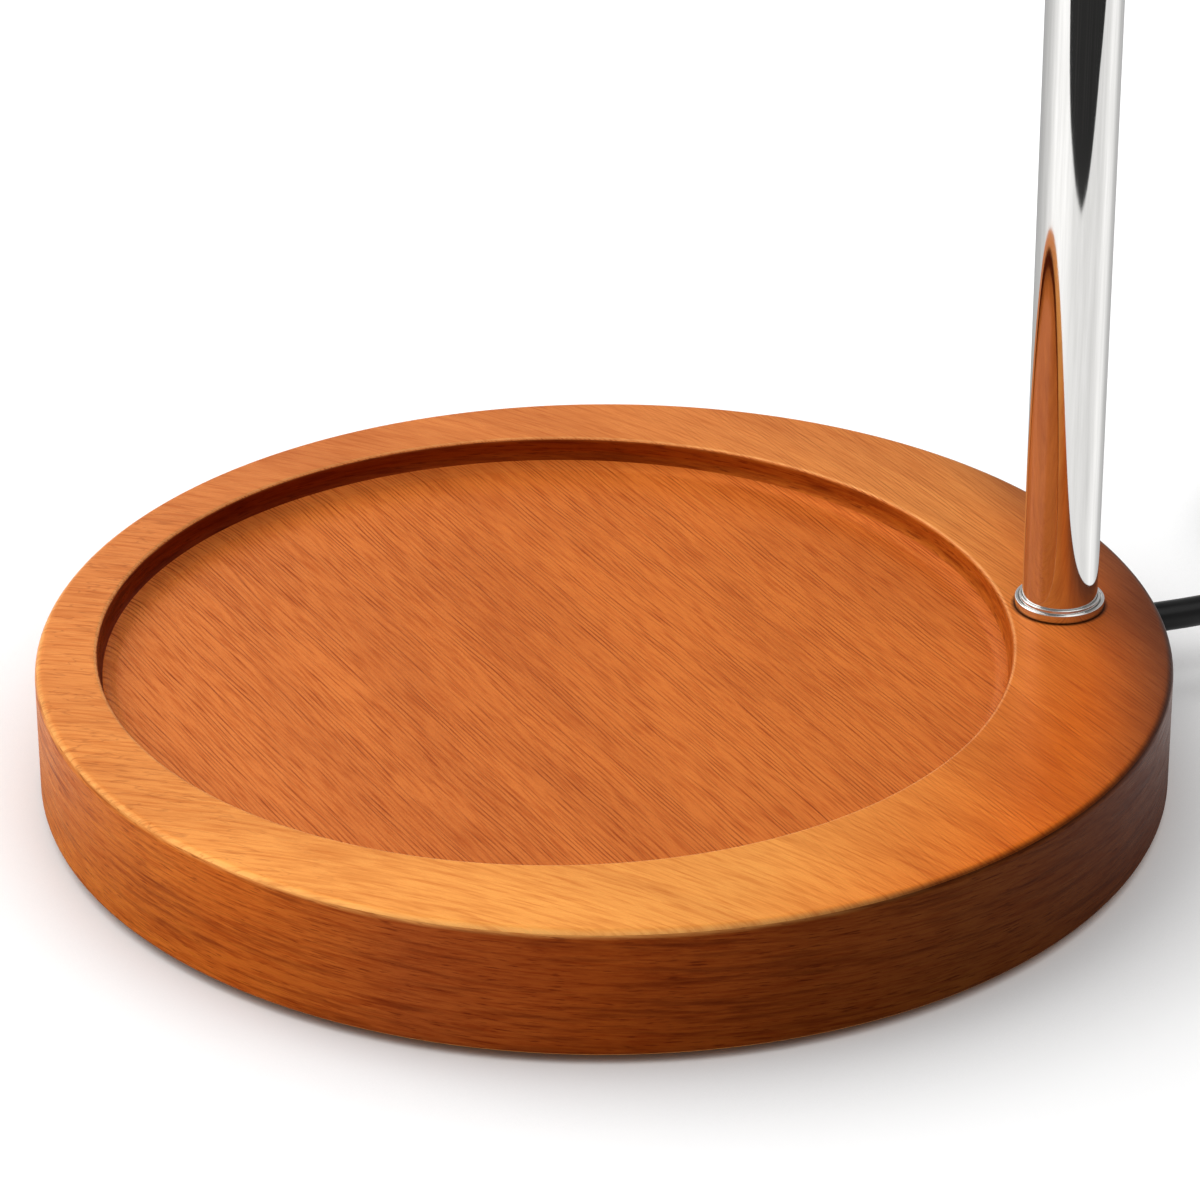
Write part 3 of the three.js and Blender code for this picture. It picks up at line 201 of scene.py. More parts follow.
class Steps:
    """The steps from which the look of a surface, or the light of the surroundings, is built."""

    def __init__(self, tree):
        self.tree = tree

    def fill(self, socket, value):
        """Sets a socket to a value, or leads another step to it. None leaves it as it is."""
        value = value.outputs[0] if isinstance(value, bpy.types.Node) else value
        if isinstance(value, bpy.types.NodeSocket):
            self.tree.links.new(value, socket)
        elif value is not None:
            socket.default_value = value

    def step(self, kind, *values, **settings):
        """One node, with the values of its inputs in order."""
        node = self.tree.nodes.new("ShaderNode" + kind)
        for name, value in settings.items():
            setattr(node, name, value)
        for socket, value in zip(node.inputs, values):
            self.fill(socket, value)
        return node

    def maths(self, operation, *values):
        """One sum with the values, each a number or another step."""
        return self.step("Math", *values, operation=operation)


class Finish(Steps):
    """A material, with the patterns that make up its surface."""

    def __init__(self, name, color, roughness, **plain):
        self.material = bpy.data.materials.new(name)
        self.material.use_nodes = True
        super().__init__(self.material.node_tree)
        self.shader = self.tree.nodes["Principled BSDF"]
        self.shader.inputs["Base Color"].default_value = color
        self.shader.inputs["Roughness"].default_value = roughness
        for socket, value in plain.items():
            self.shader.inputs[socket.replace("_", " ")].default_value = value

    def place(self):
        """The place on the piece, in millimetres."""
        return self.step("Mapping", self.step("TexCoord").outputs["Object"], None, None, [1 / mm] * 3)

    def noise(self, place, stretch, detail=2.0, roughness=0.5, warp=0.0):
        """Cloudy noise, with its number of lumps per millimetre along each way."""
        spread = self.step("Mapping", place, None, None, stretch)
        return self.step("TexNoise", spread, None, 1.0, detail, roughness, None, None, None, warp)

    def mottle(self, lumps, detail=3.0, roughness=0.5):
        """Cloudy noise that is alike in all ways, over the whole piece."""
        return self.noise(self.place(), (lumps, lumps, lumps), detail, roughness)

    def ramp(self, value, *stops):
        """A colour or strength that changes with a value, at the given stops."""
        node = self.step("ValToRGB", value)
        points = node.color_ramp.elements
        while len(points) < len(stops):
            points.new(0.5)
        for point, (where, color) in zip(points, stops):
            point.position = where
            point.color = color if isinstance(color, list) else [color] * 3 + [1]
        return node

    def mixed(self, amount, a, b, blend="MIX"):
        """Two colours, or two places, mixed."""
        node = self.step("Mix", data_type="RGBA", blend_type=blend)
        for index, value in ((0, amount), (6, a), (7, b)):
            self.fill(node.inputs[index], value)
        return node.outputs[2]

    def darkened(self, color, by):
        """A colour under a glaze of another one."""
        return self.mixed(1.0, color, by, "MULTIPLY")

    def between(self, value, start, end, low=0.0, high=1.0):
        """A strength that goes from low to high while a value goes from start to end."""
        return self.step("MapRange", value, start, end, low, high)

    def gives(self, socket, value):
        """Leads a value to one of the shader's sockets."""
        self.fill(self.shader.inputs[socket], value)

    def uneven(self, pattern, dark, light, smooth, rough, low=0.3, high=0.7):
        """A colour and a roughness that each vary between two limits, with a pattern."""
        self.gives("Base Color", self.ramp(pattern, (low, tint(*dark)), (high, tint(*light))))
        self.gives("Roughness", self.between(pattern, 0.0, 1.0, smooth, rough))

    def raised(self, height, distance, strength=1.0):
        """Raises the surface by a height from 0 to 1, up to a distance in millimetres."""
        bump = self.step("Bump", strength, distance * mm)
        self.fill(bump.inputs["Height"], height)
        self.gives("Normal", bump)


def base_rings():
    """Rings from the middle of the underside, over the edge, to the middle of the tray."""
    def ring(r, z, share=0.0):
        x, y = (share * c for c in tray_place)
        return [(x + r * math.cos(t), y + r * math.sin(t), z) for t in spokes]

    spokes = np.arange(base_sides) * 2 * math.pi / base_sides
    guard = 0.4 * mm
    outside = rounded([
        (0, base_bottom, 0),
        (base_radius, base_bottom, 1 * mm),
        (base_radius, base_top, 1.5 * mm),
        (0, base_top, 0),
    ], 8)
    inside = rounded([
        (2 * tray_radius, base_top, 0),
        (tray_radius, base_top, 0.8 * mm),
        (tray_radius, tray_floor, 3 * mm),
        (0, tray_floor, 0),
    ], 8)
    rings = [ring(outside[1][0] - guard, base_bottom)]
    rings += [ring(r, z) for r, z in outside if r > 0]
    rings.append(ring(outside[-2][0] - guard, base_top))
    rings.append(ring(inside[1][0] + guard, base_top, 1))
    rings += [ring(r, z, 1) for r, z in inside if 0 < r < 2 * tray_radius]
    rings.append(ring(inside[-2][0] - guard, tray_floor, 1))
    return rings


base_plate = shaped("wooden_base", *skin(base_rings()))
base_cuts = [
    rod(pocket_radius, 0, pocket_ceiling, sides=128, x=pocket_x),
    rod(rebate_radius, 0, cover_seat, sides=128, x=pocket_x),
    rod(nipple_bore, base_bottom, base_top + past, sides=64, x=pole_x),
    lying(
        rod(cord_bore, base_radius - cord_bore_depth, base_radius + past),
        cord_turn, (0, 0, cord_height),
    ),
]
base_cuts += [rod(foot_recess, 0, foot_seat, 64, x, y) for x, y in foot_places]
base_cuts += [rod(screw_hole, 0, screw_hole_end, 24, x, y) for x, y in screw_places]
machined(base_plate, *base_cuts)

# The grain of the rim, the tray and the side run differently, as in the photograph:
# the tray lies deeper in the board, and the side shows its long fibres on edge.
wood = Finish("stained_wood", tint(214, 124, 56), 0.3, IOR=1.47, Specular_IOR_Level=0.02, Metallic=0.1)
place = wood.place()
x, y, z = wood.step("SeparateXYZ", place).outputs
flat_place = wood.step("CombineXYZ", x, y)


def from_axis(axis_x, axis_y):
    """How far a spot lies from an upright axis, in millimetres."""
    axis = (axis_x / mm, axis_y / mm, 0)
    return wood.step("VectorMath", flat_place, axis, operation="DISTANCE").outputs["Value"]


rim_curl, rim_bow = 0.0055, 181.8
rim_turn = wood.maths("MULTIPLY_ADD", x, rim_curl, 0.8)
rim_bend = wood.maths("LOGARITHM", wood.maths("COSINE", rim_turn), math.e)
rim_across = wood.maths("MULTIPLY_ADD", rim_bend, -rim_bow, y)
rim_along = wood.maths("MULTIPLY", wood.maths("SUBTRACT", x, y), 0.7)
rim_grain = wood.step("CombineXYZ", rim_across, rim_along, z)
tray_turn = math.radians(-18.7)
turned_grain = wood.step("Mapping", place, None, (0, 0, tray_turn))
tray_across, tray_along, tray_depth = wood.step("SeparateXYZ", turned_grain).outputs
tray_across = wood.maths("MULTIPLY_ADD", tray_depth, 1.3, tray_across)
tray_grain = wood.step("CombineXYZ", tray_across, tray_along, tray_depth)
side_across = wood.maths("MULTIPLY_ADD", x, 0.05, z)
side_grain = wood.step("CombineXYZ", side_across, x, y)
reach, tray_reach, pole_reach = from_axis(0, 0), from_axis(*tray_place), from_axis(pole_x, 0)
half_height = 10.0
upper_half = wood.maths("GREATER_THAN", z, half_height)
in_tray = wood.maths("MULTIPLY", wood.maths("LESS_THAN", tray_reach, tray_radius / mm + 0.3), upper_half)
tilt = wood.step("SeparateXYZ", wood.step("NewGeometry").outputs["Normal"]).outputs["Z"]
upright = wood.maths("LESS_THAN", wood.maths("ABSOLUTE", tilt), 0.6)


def even_lines(across, grain, gap, wander, sharpness):
    """Thin lines along the grain, about a gap apart, that wander, thin out and end."""
    drift = wood.noise(grain, wander, 2.0)
    phase = wood.maths("MULTIPLY_ADD", drift, 26.0, wood.maths("MULTIPLY", across, 2 * math.pi / gap))
    return wood.between(wood.maths("SINE", phase), sharpness, 1.0)


def cracks(grain, stretch, width, warp=0.0):
    """Hair-thin wavy lines, from 0 between them to 1 on them."""
    field = wood.noise(grain, stretch, 2.0, 0.5, warp)
    off = wood.maths("ABSOLUTE", wood.maths("SUBTRACT", field, 0.5))
    return wood.between(off, 0.0, width, 1.0, 0.0)


def by_zone(tray, rim, side):
    """A value or colour for each of the three zones: tray floor, rim, and upright faces."""
    return wood.mixed(upright, wood.mixed(in_tray, rim, tray), side)


# Painted light and shade, partly the stain's own tone: the side runs from pale at the front left
# to dark at the right, the rim's top is painted lighter towards the front, and the tray's wall is
# painted lighter at the right, where the light from the left falls on it.
fade = wood.maths("MULTIPLY_ADD", wood.maths("MULTIPLY_ADD", y, 0.7, x), 0.0047, 0.5)
rim_tone_and_light = wood.maths("MULTIPLY_ADD", wood.maths("MULTIPLY_ADD", y, -3.0, x), 0.0015, 0.5)
across_board = wood.maths("MULTIPLY_ADD", x, mm / (2 * base_radius), 0.5)
side_tone_and_shade = wood.ramp(
    across_board,
    (0.0, tint(232, 135, 48)), (0.13, tint(225, 118, 39)),
    (0.26, tint(184, 90, 36)), (0.41, tint(171, 81, 24)),
    (0.58, tint(131, 64, 19)), (0.72, tint(115, 61, 22)),
    (0.84, tint(106, 55, 22)), (1.0, tint(112, 60, 30)),
)
wall_tone_and_light = wood.ramp(
    across_board,
    (0.05, tint(118, 40, 6)), (0.3, tint(124, 44, 7)),
    (0.6, tint(158, 71, 14)), (0.8, tint(204, 110, 34)),
)
stain_and_painted_light = by_zone(
    wood.mixed(fade, tint(217, 122, 55), tint(222, 121, 48)),
    wood.mixed(rim_tone_and_light, tint(219, 128, 67), tint(255, 173, 84)),
    wood.mixed(in_tray, side_tone_and_shade, wall_tone_and_light),
)
# Painted shade, partly the stain's own tone: at the right the rim's top is darker and redder,
# and painted darker still along its outer edge, where less light falls. Painted highlights: thin
# light lines on the turned edges of tray and rim, which turn to a painted dark line on the rim's right.
top_face = wood.maths("SUBTRACT", upper_half, wood.maths("MAXIMUM", upright, in_tray))
top_face = wood.maths("MAXIMUM", top_face, 0.0)
redder_and_shaded = wood.between(wood.maths("MULTIPLY_ADD", y, -0.5, x), 46.0, 86.0)
redder_and_shaded = wood.maths("MULTIPLY", redder_and_shaded, top_face)
stain_and_painted_light = wood.mixed(redder_and_shaded, stain_and_painted_light, wood.darkened(stain_and_painted_light, tint(240, 186, 132)))
to_right = wood.maths("MULTIPLY", wood.maths("ADD", reach, x), 0.5)
painted_edge_shadow = wood.between(to_right, 72.0, 91.0)
painted_edge_shadow.interpolation_type = "SMOOTHSTEP"
stain_and_painted_light = wood.mixed(wood.maths("MULTIPLY", painted_edge_shadow, top_face), stain_and_painted_light, tint(116, 66, 42))


def edge_line(distance, edge, width):
    """A thin line round a turned edge."""
    off = wood.maths("ABSOLUTE", wood.maths("SUBTRACT", distance, edge))
    return wood.between(off, 0.0, width, 1.0, 0.0)


# Painted highlight along the rim's outer edge at the left, turning to a painted dark line of shade at the
# right.
edge_highlight_and_shade = wood.mixed(wood.between(x, -15.0, 35.0), tint(255, 184, 104), tint(52, 24, 12))
rim_top = wood.between(z, base_top / mm - 1.3, base_top / mm - 0.8, 0.0, 0.85)
rim_edge = wood.maths("MULTIPLY", edge_line(reach, base_radius / mm - 0.4, 0.7), rim_top)
stain_and_painted_light = wood.mixed(rim_edge, stain_and_painted_light, edge_highlight_and_shade)
# Painted highlight: a thin light line along the tray's lip.
tray_lip_highlight = edge_line(tray_reach, tray_radius / mm + 0.4, 0.35)
tray_lip_highlight = wood.maths("MULTIPLY", tray_lip_highlight, wood.maths("MULTIPLY", upper_half, 0.5))
stain_and_painted_light = wood.mixed(tray_lip_highlight, stain_and_painted_light, tint(255, 190, 124))
# Painted shade: a thin dark line on the rim round the foot of the pole's collar.
stain_and_painted_light = wood.mixed(edge_line(pole_reach, collar_radius / mm, 0.7), stain_and_painted_light, tint(40, 18, 8))
grain = by_zone(tray_grain, rim_grain, side_grain)
clouds = wood.noise(grain, (0.05, 0.012, 0.02), 3.0, 0.55, 0.6)
toned = wood.darkened(stain_and_painted_light, wood.ramp(clouds, (0.34, tint(236, 228, 224)), (0.62, tint(255, 255, 255))))
tray_patches = wood.ramp(wood.noise(tray_grain, (0.7, 0.06, 0.1), 3.0, 0.6), (0.38, 0.0), (0.66, 0.8))
tray_lines = even_lines(tray_across, tray_grain, 0.7, (0.14, 0.02, 0.1), 0.2)
tray_lines = wood.maths("MULTIPLY", tray_lines, tray_patches)
tray_dashes = wood.ramp(wood.noise(tray_grain, (2.6, 0.12, 0.4), 2.0, 0.55), (0.44, 0.0), (0.66, 0.8))
rim_cracks = cracks(rim_grain, (0.6, 0.12, 0.2), 0.03, 0.3)
rim_cracks = wood.maths("MULTIPLY", rim_cracks, wood.between(x, -70.0, -45.0, 0.35, 0.0))
straightened = wood.between(x, 10.0, 48.0)
rim_lines = wood.mixed(straightened, rim_cracks, wood.maths("MULTIPLY", tray_lines, 0.6))
rim_dashes = wood.ramp(wood.noise(rim_grain, (1.1, 0.11, 0.4), 4.0, 0.6, 0.3), (0.4, 0.0), (0.72, 0.9))
side_streaks = wood.noise(side_grain, (0.9, 0.05, 0.05), 4.0, 0.65, 0.3)
side_streaks = wood.ramp(side_streaks, (0.5, 0.0), (0.7, 0.7))
side_pores = wood.ramp(wood.noise(side_grain, (4.0, 0.3, 0.3), 2.0), (0.58, 0.0), (0.7, 0.7))
side_lines = wood.maths("MAXIMUM", side_streaks, side_pores)
side_dashes = wood.ramp(wood.noise(side_grain, (2.2, 0.14, 0.14), 4.0, 0.65), (0.4, 0.0), (0.66, 1.0))
lines = by_zone(tray_lines, rim_lines, side_lines)
dashes = by_zone(tray_dashes, rim_dashes, side_dashes)
dashed = wood.mixed(dashes, toned, wood.darkened(toned, tint(222, 196, 178)))
wood.gives("Base Color", wood.mixed(lines, dashed, wood.darkened(dashed, tint(164, 128, 112))))
wood.gives("Roughness", wood.between(dashes, 0.0, 1.0, 0.27, 0.4))
furrows = by_zone(tray_lines, rim_lines, wood.maths("MULTIPLY", side_streaks, 0.3))
wood.raised(wood.maths("SUBTRACT", 1.0, furrows), 0.02, 0.3)
fitted(base_plate, wood, "base", "wood", "base_plate")

# Feet: four turned rubber buttons, each glued into its shallow recess.
# Black, dull, with the fine bloom that moulded rubber has.
rubber = Finish("foot_rubber", tint(26, 26, 27), 0.75, IOR=1.5)
rubber.uneven(rubber.mottle(1.2, 4.0, 0.6), (20, 20, 21), (38, 38, 39), 0.62, 0.85, low=0.35)
rubber.raised(rubber.mottle(6), 0.05, 0.4)


def in_mm(points):
    """Points that are written in millimetres."""
    return [tuple(c * mm for c in point) for point in points]


foot_profile = rounded(in_mm([(0, 0, 0), (7, 0, 0.6), (7, 2.2, 0), (0, 2.2, 0)]))
for number, (x, y) in enumerate(foot_places, 1):
    foot = turned(f"rubber_foot_{number}", foot_profile, 64, x, y)
    fitted(foot, rubber, "base", "foot_rubber", f"foot_{number}")

# Bottom cover: a stamped disc of black plastic that closes the routed pocket.
# Three countersunk screws hold it in its rebate.
black_plastic = Finish("black_plastic", tint(28, 28, 30), 0.45, IOR=1.5)
black_plastic.uneven(black_plastic.mottle(0.08), (22, 22, 24), (36, 36, 38), 0.38, 0.56, high=0.75)
black_plastic.raised(black_plastic.mottle(3.5, 3.0, 0.6), 0.03, 0.5)
cover_bottom, cover_radius = 1.4 * mm, 35 * mm
cover = turned("pocket_cover", rounded([
    (0, cover_bottom, 0),
    (cover_radius, cover_bottom, 0.4 * mm),
    (cover_radius, cover_seat, 0),
    (0, cover_seat, 0),
]), sides=160, x=pocket_x)
countersink = in_mm([(0, 0), (2.45, 0), (2.45, 1.4), (1.35, 2.6), (1.35, 4), (0, 4)])
machined(cover, *[turned("cutter", countersink, 32, x, y) for x, y in screw_places])
fitted(cover, black_plastic, "base", "black_plastic", "bottom_cover")

# Cover screws: zinc-plated steel, countersunk, with a cross recess. They press the
# cover into its rebate and hold in the wood by their own thread.
steel = Finish("zinc_plated_steel", tint(196, 198, 200), 0.34, Metallic=1.0)
steel.uneven(steel.mottle(1.6, 4.0, 0.6), (176, 178, 181), (208, 209, 210), 0.26, 0.46)


def cross_recess(x, y, face, size=2.4 * mm, depth=0.9 * mm):
    """Two crossed bars that press a screwdriver's recess into a screw head."""
    bars = []
    for wide, long in ((size / 4, size), (size, size / 4)):
        ring = [(-wide, -long), (wide, -long), (wide, long), (-wide, long)]
        low = [(x + a / 2, y + b / 2, face - past) for a, b in ring]
        high = [(x + a / 3, y + b / 3, face + depth) for a, b in ring]
        bars.append(shaped("cutter", *skin([low, high])))
    return bars


screw_profile = in_mm([(0, 1.4), (2.2, 1.4), (2.4, 1.6), (1.3, 2.6), (1.3, 8.6), (0.4, 9.4), (0, 9.4)])
for number, (x, y) in enumerate(screw_places, 1):
    screw = turned(f"cover_fixing_{number}", screw_profile, 40, x, y)
    machined(screw, *cross_recess(x, y, cover_bottom))
    fitted(screw, steel, "base", "steel", f"cover_screw_{number}")

# Inside the base: a hollow threaded nipple with a brass insert, a steel washer and
# a brass nut draws the pole down. The frame's own pieces stay, in turned brass and steel.
brass = Finish("turned_brass", tint(205, 172, 96), 0.3, Metallic=1.0)
brass.uneven(brass.noise(brass.place(), (0.4, 0.4, 9)), (184, 148, 74), (214, 184, 110), 0.22, 0.4)


def refinished(finish, *nodes):
    """Keeps the frame's own pieces and gives them a better surface."""
    for node in nodes:
        for place in frame["nodes"][node].material_slots:
            place.material = finish.material


refinished(brass, "pole_insert", "pole_nut", "cap_nut", "pivot_tube")
refinished(steel, "pole_nipple", "pole_washer", "lock_stud", "stop_pin", "holder_strap")
refinished(steel, "holder_screw_1", "holder_screw_2", "bulb_pin_1", "bulb_pin_2")

# Lower pole: a straight steel tube, polished and chromed to a mirror.
# It stands on the rim on a thin turned collar, also chromed, with a raised inner lip.
chrome = Finish("mirror_chrome", tint(208, 207, 205), 0.05, Metallic=1.0)
polishing = chrome.noise(chrome.place(), (1.4, 1.4, 0.05), 3.0, 0.6)
chrome.uneven(polishing, (202, 201, 199), (214, 213, 211), 0.025, 0.07)
pole_top, pole_radius, pole_wall = 152.2 * mm, 6.05 * mm, 0.7 * mm
stud_height, stud_bore, stud_reach = 146.7 * mm, 2.15 * mm, 12 * mm


def stud_cutter():
    """The bar that bores the thumb screw's hole, from the pole's middle to the right."""
    return lying(rod(stud_bore, 0, stud_reach, 32), 0, (pole_x, 0, stud_height))


lower_pole = turned("chrome_pole", rounded([
    (pole_radius, base_top, 0),
    (pole_radius, pole_top, 0.2 * mm),
    (pole_radius - pole_wall, pole_top, 0.2 * mm),
    (pole_radius - pole_wall, base_top, 0),
]), sides=160, x=pole_x)
machined(lower_pole, stud_cutter())
fitted(lower_pole, chrome, "base", "chrome", "lower_pole")
collar_top, groove_floor, lip_top = base_top + 1.5 * mm, base_top + 0.9 * mm, base_top + 2 * mm
collar_bore, groove_outside, groove_inside, lip_outside = 6.1 * mm, 6.74 * mm, 6.64 * mm, 6.48 * mm
collar = turned("pole_collar", rounded([
    (collar_bore, base_top, 0),
    (collar_radius, base_top, 0.24 * mm),
    (collar_radius, collar_top, 0.16 * mm),
    (groove_outside, collar_top, 0.08 * mm),
    (groove_inside, groove_floor, 0.05 * mm),
    (lip_outside, lip_top, 0.12 * mm),
    (collar_bore, lip_top, 0.06 * mm),
]), sides=160, x=pole_x)
fitted(collar, chrome, "base", "chrome", "base_collar")

# Lock collar: a turned chrome sleeve over the pole's top, with a boss for the thumb
# screw. Inside it a nylon bushing guides the upper pole.
nylon = Finish("natural_nylon", tint(232, 228, 214), 0.45, IOR=1.53)
nylon.uneven(nylon.mottle(0.3), (222, 217, 201), (238, 235, 222), 0.38, 0.55)
refinished(nylon, "guide_bushing", "glide_plug", "swivel_washer", "terminal_block")
lock_bottom, lock_lip, lock_top = 141.2 * mm, 153.3 * mm, 155.9 * mm
lock_radius, guide_bore = 8.5 * mm, 4.65 * mm
lock_collar = turned("lock_sleeve", rounded([
    (collar_bore, lock_bottom, 0),
    (lock_radius, lock_bottom, 1.2 * mm),
    (lock_radius, lock_top, 1.2 * mm),
    (guide_bore, lock_top, 0.2 * mm),
    (guide_bore, lock_lip, 0),
    (collar_bore, lock_lip, 0),
]), sides=128, x=pole_x)
boss = turned("cutter", rounded(in_mm([(0, 6.7, 0), (4.5, 6.7, 0), (4.5, 10, 0.5), (0, 10, 0)])), 64)
machined(lock_collar, lying(boss, 0, (pole_x, 0, stud_height)), operation="UNION")
machined(lock_collar, stud_cutter())
fitted(lock_collar, chrome, "base", "chrome", "lock_collar")

# Thumb screw: a chromed knob with twenty finger ribs, pressed on a steel stud. The
# stud goes through the boss and the pole's side, and clamps the upper pole.
knob_radius, knob_ribs, knob_rib_depth = 6.5 * mm, 20, 0.6 * mm
knob_out, knob_bore, knob_bore_depth = 10.3 * mm, 2.05 * mm, 4.4 * mm


def ribbed(radius, depth, ribs, z, per_rib=10):
    """A ring with smooth finger ribs."""
    turns = np.arange(ribs * per_rib) * 2 * math.pi / (ribs * per_rib)
    reach = radius - depth * (0.5 - 0.5 * np.cos(ribs * turns)) ** 1.6
    return [(r * math.cos(t), r * math.sin(t), z) for r, t in zip(reach, turns)]


knob_stations = [
    (5.2, 0.25), (4.6, 0), (0.8, 0), (0.35, 0.12), (0.1, 0.4), (0, 0.8),
    (0, 4.4), (0.1, 4.8), (0.35, 5.08), (0.8, 5.2), (4.2, 5.2), (4.6, 5.0),
]
knob_rings = [
    ribbed(knob_radius - inset * mm, knob_rib_depth * (inset < 4), knob_ribs, along * mm)
    for inset, along in knob_stations
]
knob = shaped("thumb_screw", *skin(knob_rings), sharp=40)
machined(lying(knob), lying(rod(knob_bore, -past, knob_bore_depth, 40)), sharp=40)
knob.data.transform(Matrix.Translation((pole_x + knob_out, 0, stud_height)))
fitted(knob, chrome, "lock", "chrome", "lock_knob")

# Upper pole: a thinner chromed tube that slides in the pole on a nylon plug.
# Its top is pressed into the swivel, whose two chromed halves turn on a brass tube.
upper_radius, upper_bottom, upper_top = 4.5 * mm, 83.9 * mm, 205.9 * mm
upper_bore, tube_seat = 3.7 * mm, 4.55 * mm
upper_pole = turned("chrome_upper_pole", [
    (upper_radius, upper_bottom),
    (upper_radius, upper_top),
    (upper_bore, upper_top),
    (upper_bore, upper_bottom),
], sides=128, x=pole_x)
fitted(upper_pole, chrome, "mast", "chrome", "upper_pole")
swivel_bottom, swivel_split, swivel_radius = 199.9 * mm, 208.9 * mm, 7.5 * mm
pivot_press, pivot_turning, pivot_head = 3.05 * mm, 3.15 * mm, 3.95 * mm
swivel_lower = turned("swivel_cup", rounded([
    (tube_seat, swivel_bottom, 0),
    (swivel_radius, swivel_bottom, 1.4 * mm),
    (swivel_radius, swivel_split, 0.25 * mm),
    (pivot_press, swivel_split, 0),
    (pivot_press, upper_top, 0),
    (tube_seat, upper_top, 0),
]), sides=128, x=pole_x)
stop_out, stop_room, stop_radius, stop_foot = 5.6 * mm, 1.1 * mm, 0.85 * mm, 206.9 * mm
machined(swivel_lower, rod(stop_radius, stop_foot, swivel_split + past, 24, pole_x + stop_out))
fitted(swivel_lower, chrome, "mast", "chrome", "swivel_lower")
swivel_start, swivel_top, arm_seat = 209.8 * mm, 220 * mm, 214 * mm
pivot_end, groove_roof = 212.8 * mm, 211.6 * mm
swivel_upper = turned("swivel_cap", rounded([
    (pivot_turning, swivel_start, 0),
    (swivel_radius, swivel_start, 0.25 * mm),
    (swivel_radius, swivel_top, 1.4 * mm),
    (tube_seat, swivel_top, 0),
    (tube_seat, arm_seat, 0),
    (pivot_head, arm_seat, 0),
    (pivot_head, pivot_end, 0),
    (pivot_turning, pivot_end, 0),
]), sides=128, x=pole_x)
groove_turn = math.radians(120) + stop_room / stop_out
groove = []
for reach, way in ((stop_out - stop_room, -1), (stop_out + stop_room, 1)):
    turns = np.linspace(-groove_turn, groove_turn, 64) * way
    groove += [(pole_x + reach * math.cos(t), reach * math.sin(t)) for t in turns]
groove_rings = [[(x, y, z) for x, y in groove] for z in (swivel_start - past, groove_roof)]
machined(swivel_upper, shaped("cutter", *skin(groove_rings)))
fitted(swivel_upper, chrome, "arm", "chrome", "swivel_upper")

# Arm: one chromed tube bent in a half circle, from the swivel to the lamp head. Its
# ends are pressed into the swivel's cap and the head's cap.
arch_height, arch_radius, head_x, arm_end = 266 * mm, 40.75 * mm, -7.2 * mm, 250 * mm
arm_steps, arm_sides = 140, 48
arch_middle = pole_x - arch_radius


def arch_point(travel):
    """A point of the arm's middle line, and the line's heading there."""
    rise, bend = arch_height - arm_seat, math.pi * arch_radius
    if travel < rise:
        return Vector((pole_x, 0, arm_seat + travel)), Vector((0, 0, 1))
    if travel > rise + bend:
        return Vector((head_x, 0, arch_height - (travel - rise - bend))), Vector((0, 0, -1))
    turn = (travel - rise) / arch_radius
    spoke = Vector((math.cos(turn), 0, math.sin(turn)))
    place = Vector((arch_middle, 0, arch_height)) + spoke * arch_radius
    return place, Vector((-math.sin(turn), 0, math.cos(turn)))


arch_length = arch_height - arm_seat + math.pi * arch_radius + arch_height - arm_end
arm_rings = []
for inner in (False, True):
    for travel in np.linspace(0, arch_length, arm_steps)[:: -1 if inner else 1]:
        place, heading = arch_point(travel)
        out = heading.cross(Vector((0, 1, 0)))
        radius = upper_bore if inner else upper_radius
        arm_rings.append([
            place + radius * (out * math.cos(t) + Vector((0, 1, 0)) * math.sin(t))
            for t in np.arange(arm_sides) * 2 * math.pi / arm_sides
        ])
arm_tube = shaped("bent_arm", *skin(arm_rings, joined=True))
fitted(arm_tube, chrome, "arm", "chrome", "arm_tube")

# Shade: a steel dome spun over a former, with a rolled bead at its rim and eight
# vent slots in its crown. Chromed outside, lacquered white inside.
shade_rim, shade_top, shade_wall = 175 * mm, 235 * mm, 1 * mm
shade_radius, shoulder, band_top = 59 * mm, 24 * mm, 181 * mm
shade_sides, shade_hole, hole_bevel, bead_radius = 288, 15.05 * mm, 16 * mm, 1.3 * mm
vent_count, vent_out, vent_half, vent_round, vent_low = 8, 35 * mm, 4 * mm, 2 * mm, 205 * mm
lacquer_start, lacquer_middle = 177.5 * mm, 190 * mm


def dome(inset, steps=40):
    """The shade's side from its rim band up to its flat crown, as [radius, height] points."""
    reach, rise = shade_radius - shoulder - inset, shade_top - band_top - inset
    turns = np.linspace(0, math.pi / 2, steps)
    return [(shoulder + reach * math.cos(t), band_top + rise * math.sin(t)) for t in turns]


bead = [
    (
        shade_radius - shade_wall / 2 + bead_radius * math.cos(t),
        shade_rim + bead_radius + bead_radius * math.sin(t),
    )
    for t in np.radians(np.linspace(150, 390, 20))
]
crown = [(shade_hole, shade_top - shade_wall), (hole_bevel, shade_top - shade_wall)]
shade_profile = crown + dome(shade_wall)[::-1] + bead + dome(0)
shade_profile += [(hole_bevel, shade_top), (shade_hole, shade_top)]
shade = turned("spun_shade", shade_profile, shade_sides, head_x)
vents = []
for number in range(vent_count):
    turn = 2 * math.pi * (number + 0.5) / vent_count
    ends = [(vent_half, t) for t in np.radians(np.linspace(-90, 90, 13))]
    ends += [(-vent_half, t) for t in np.radians(np.linspace(90, 270, 13))]
    outline = [(vent_out + e + vent_round * math.cos(t), vent_round * math.sin(t)) for e, t in ends]
    rings = [[(x, y, z) for x, y in outline] for z in (vent_low, shade_top + past)]
    vent = shaped("cutter", *skin(rings))
    vent.data.transform(Matrix.Translation((head_x, 0, 0)) @ Matrix.Rotation(turn, 4, "Z"))
    vents.append(vent)
machined(shade, *vents)
fitted(shade, chrome, "arm", "shade_plate", "shade")
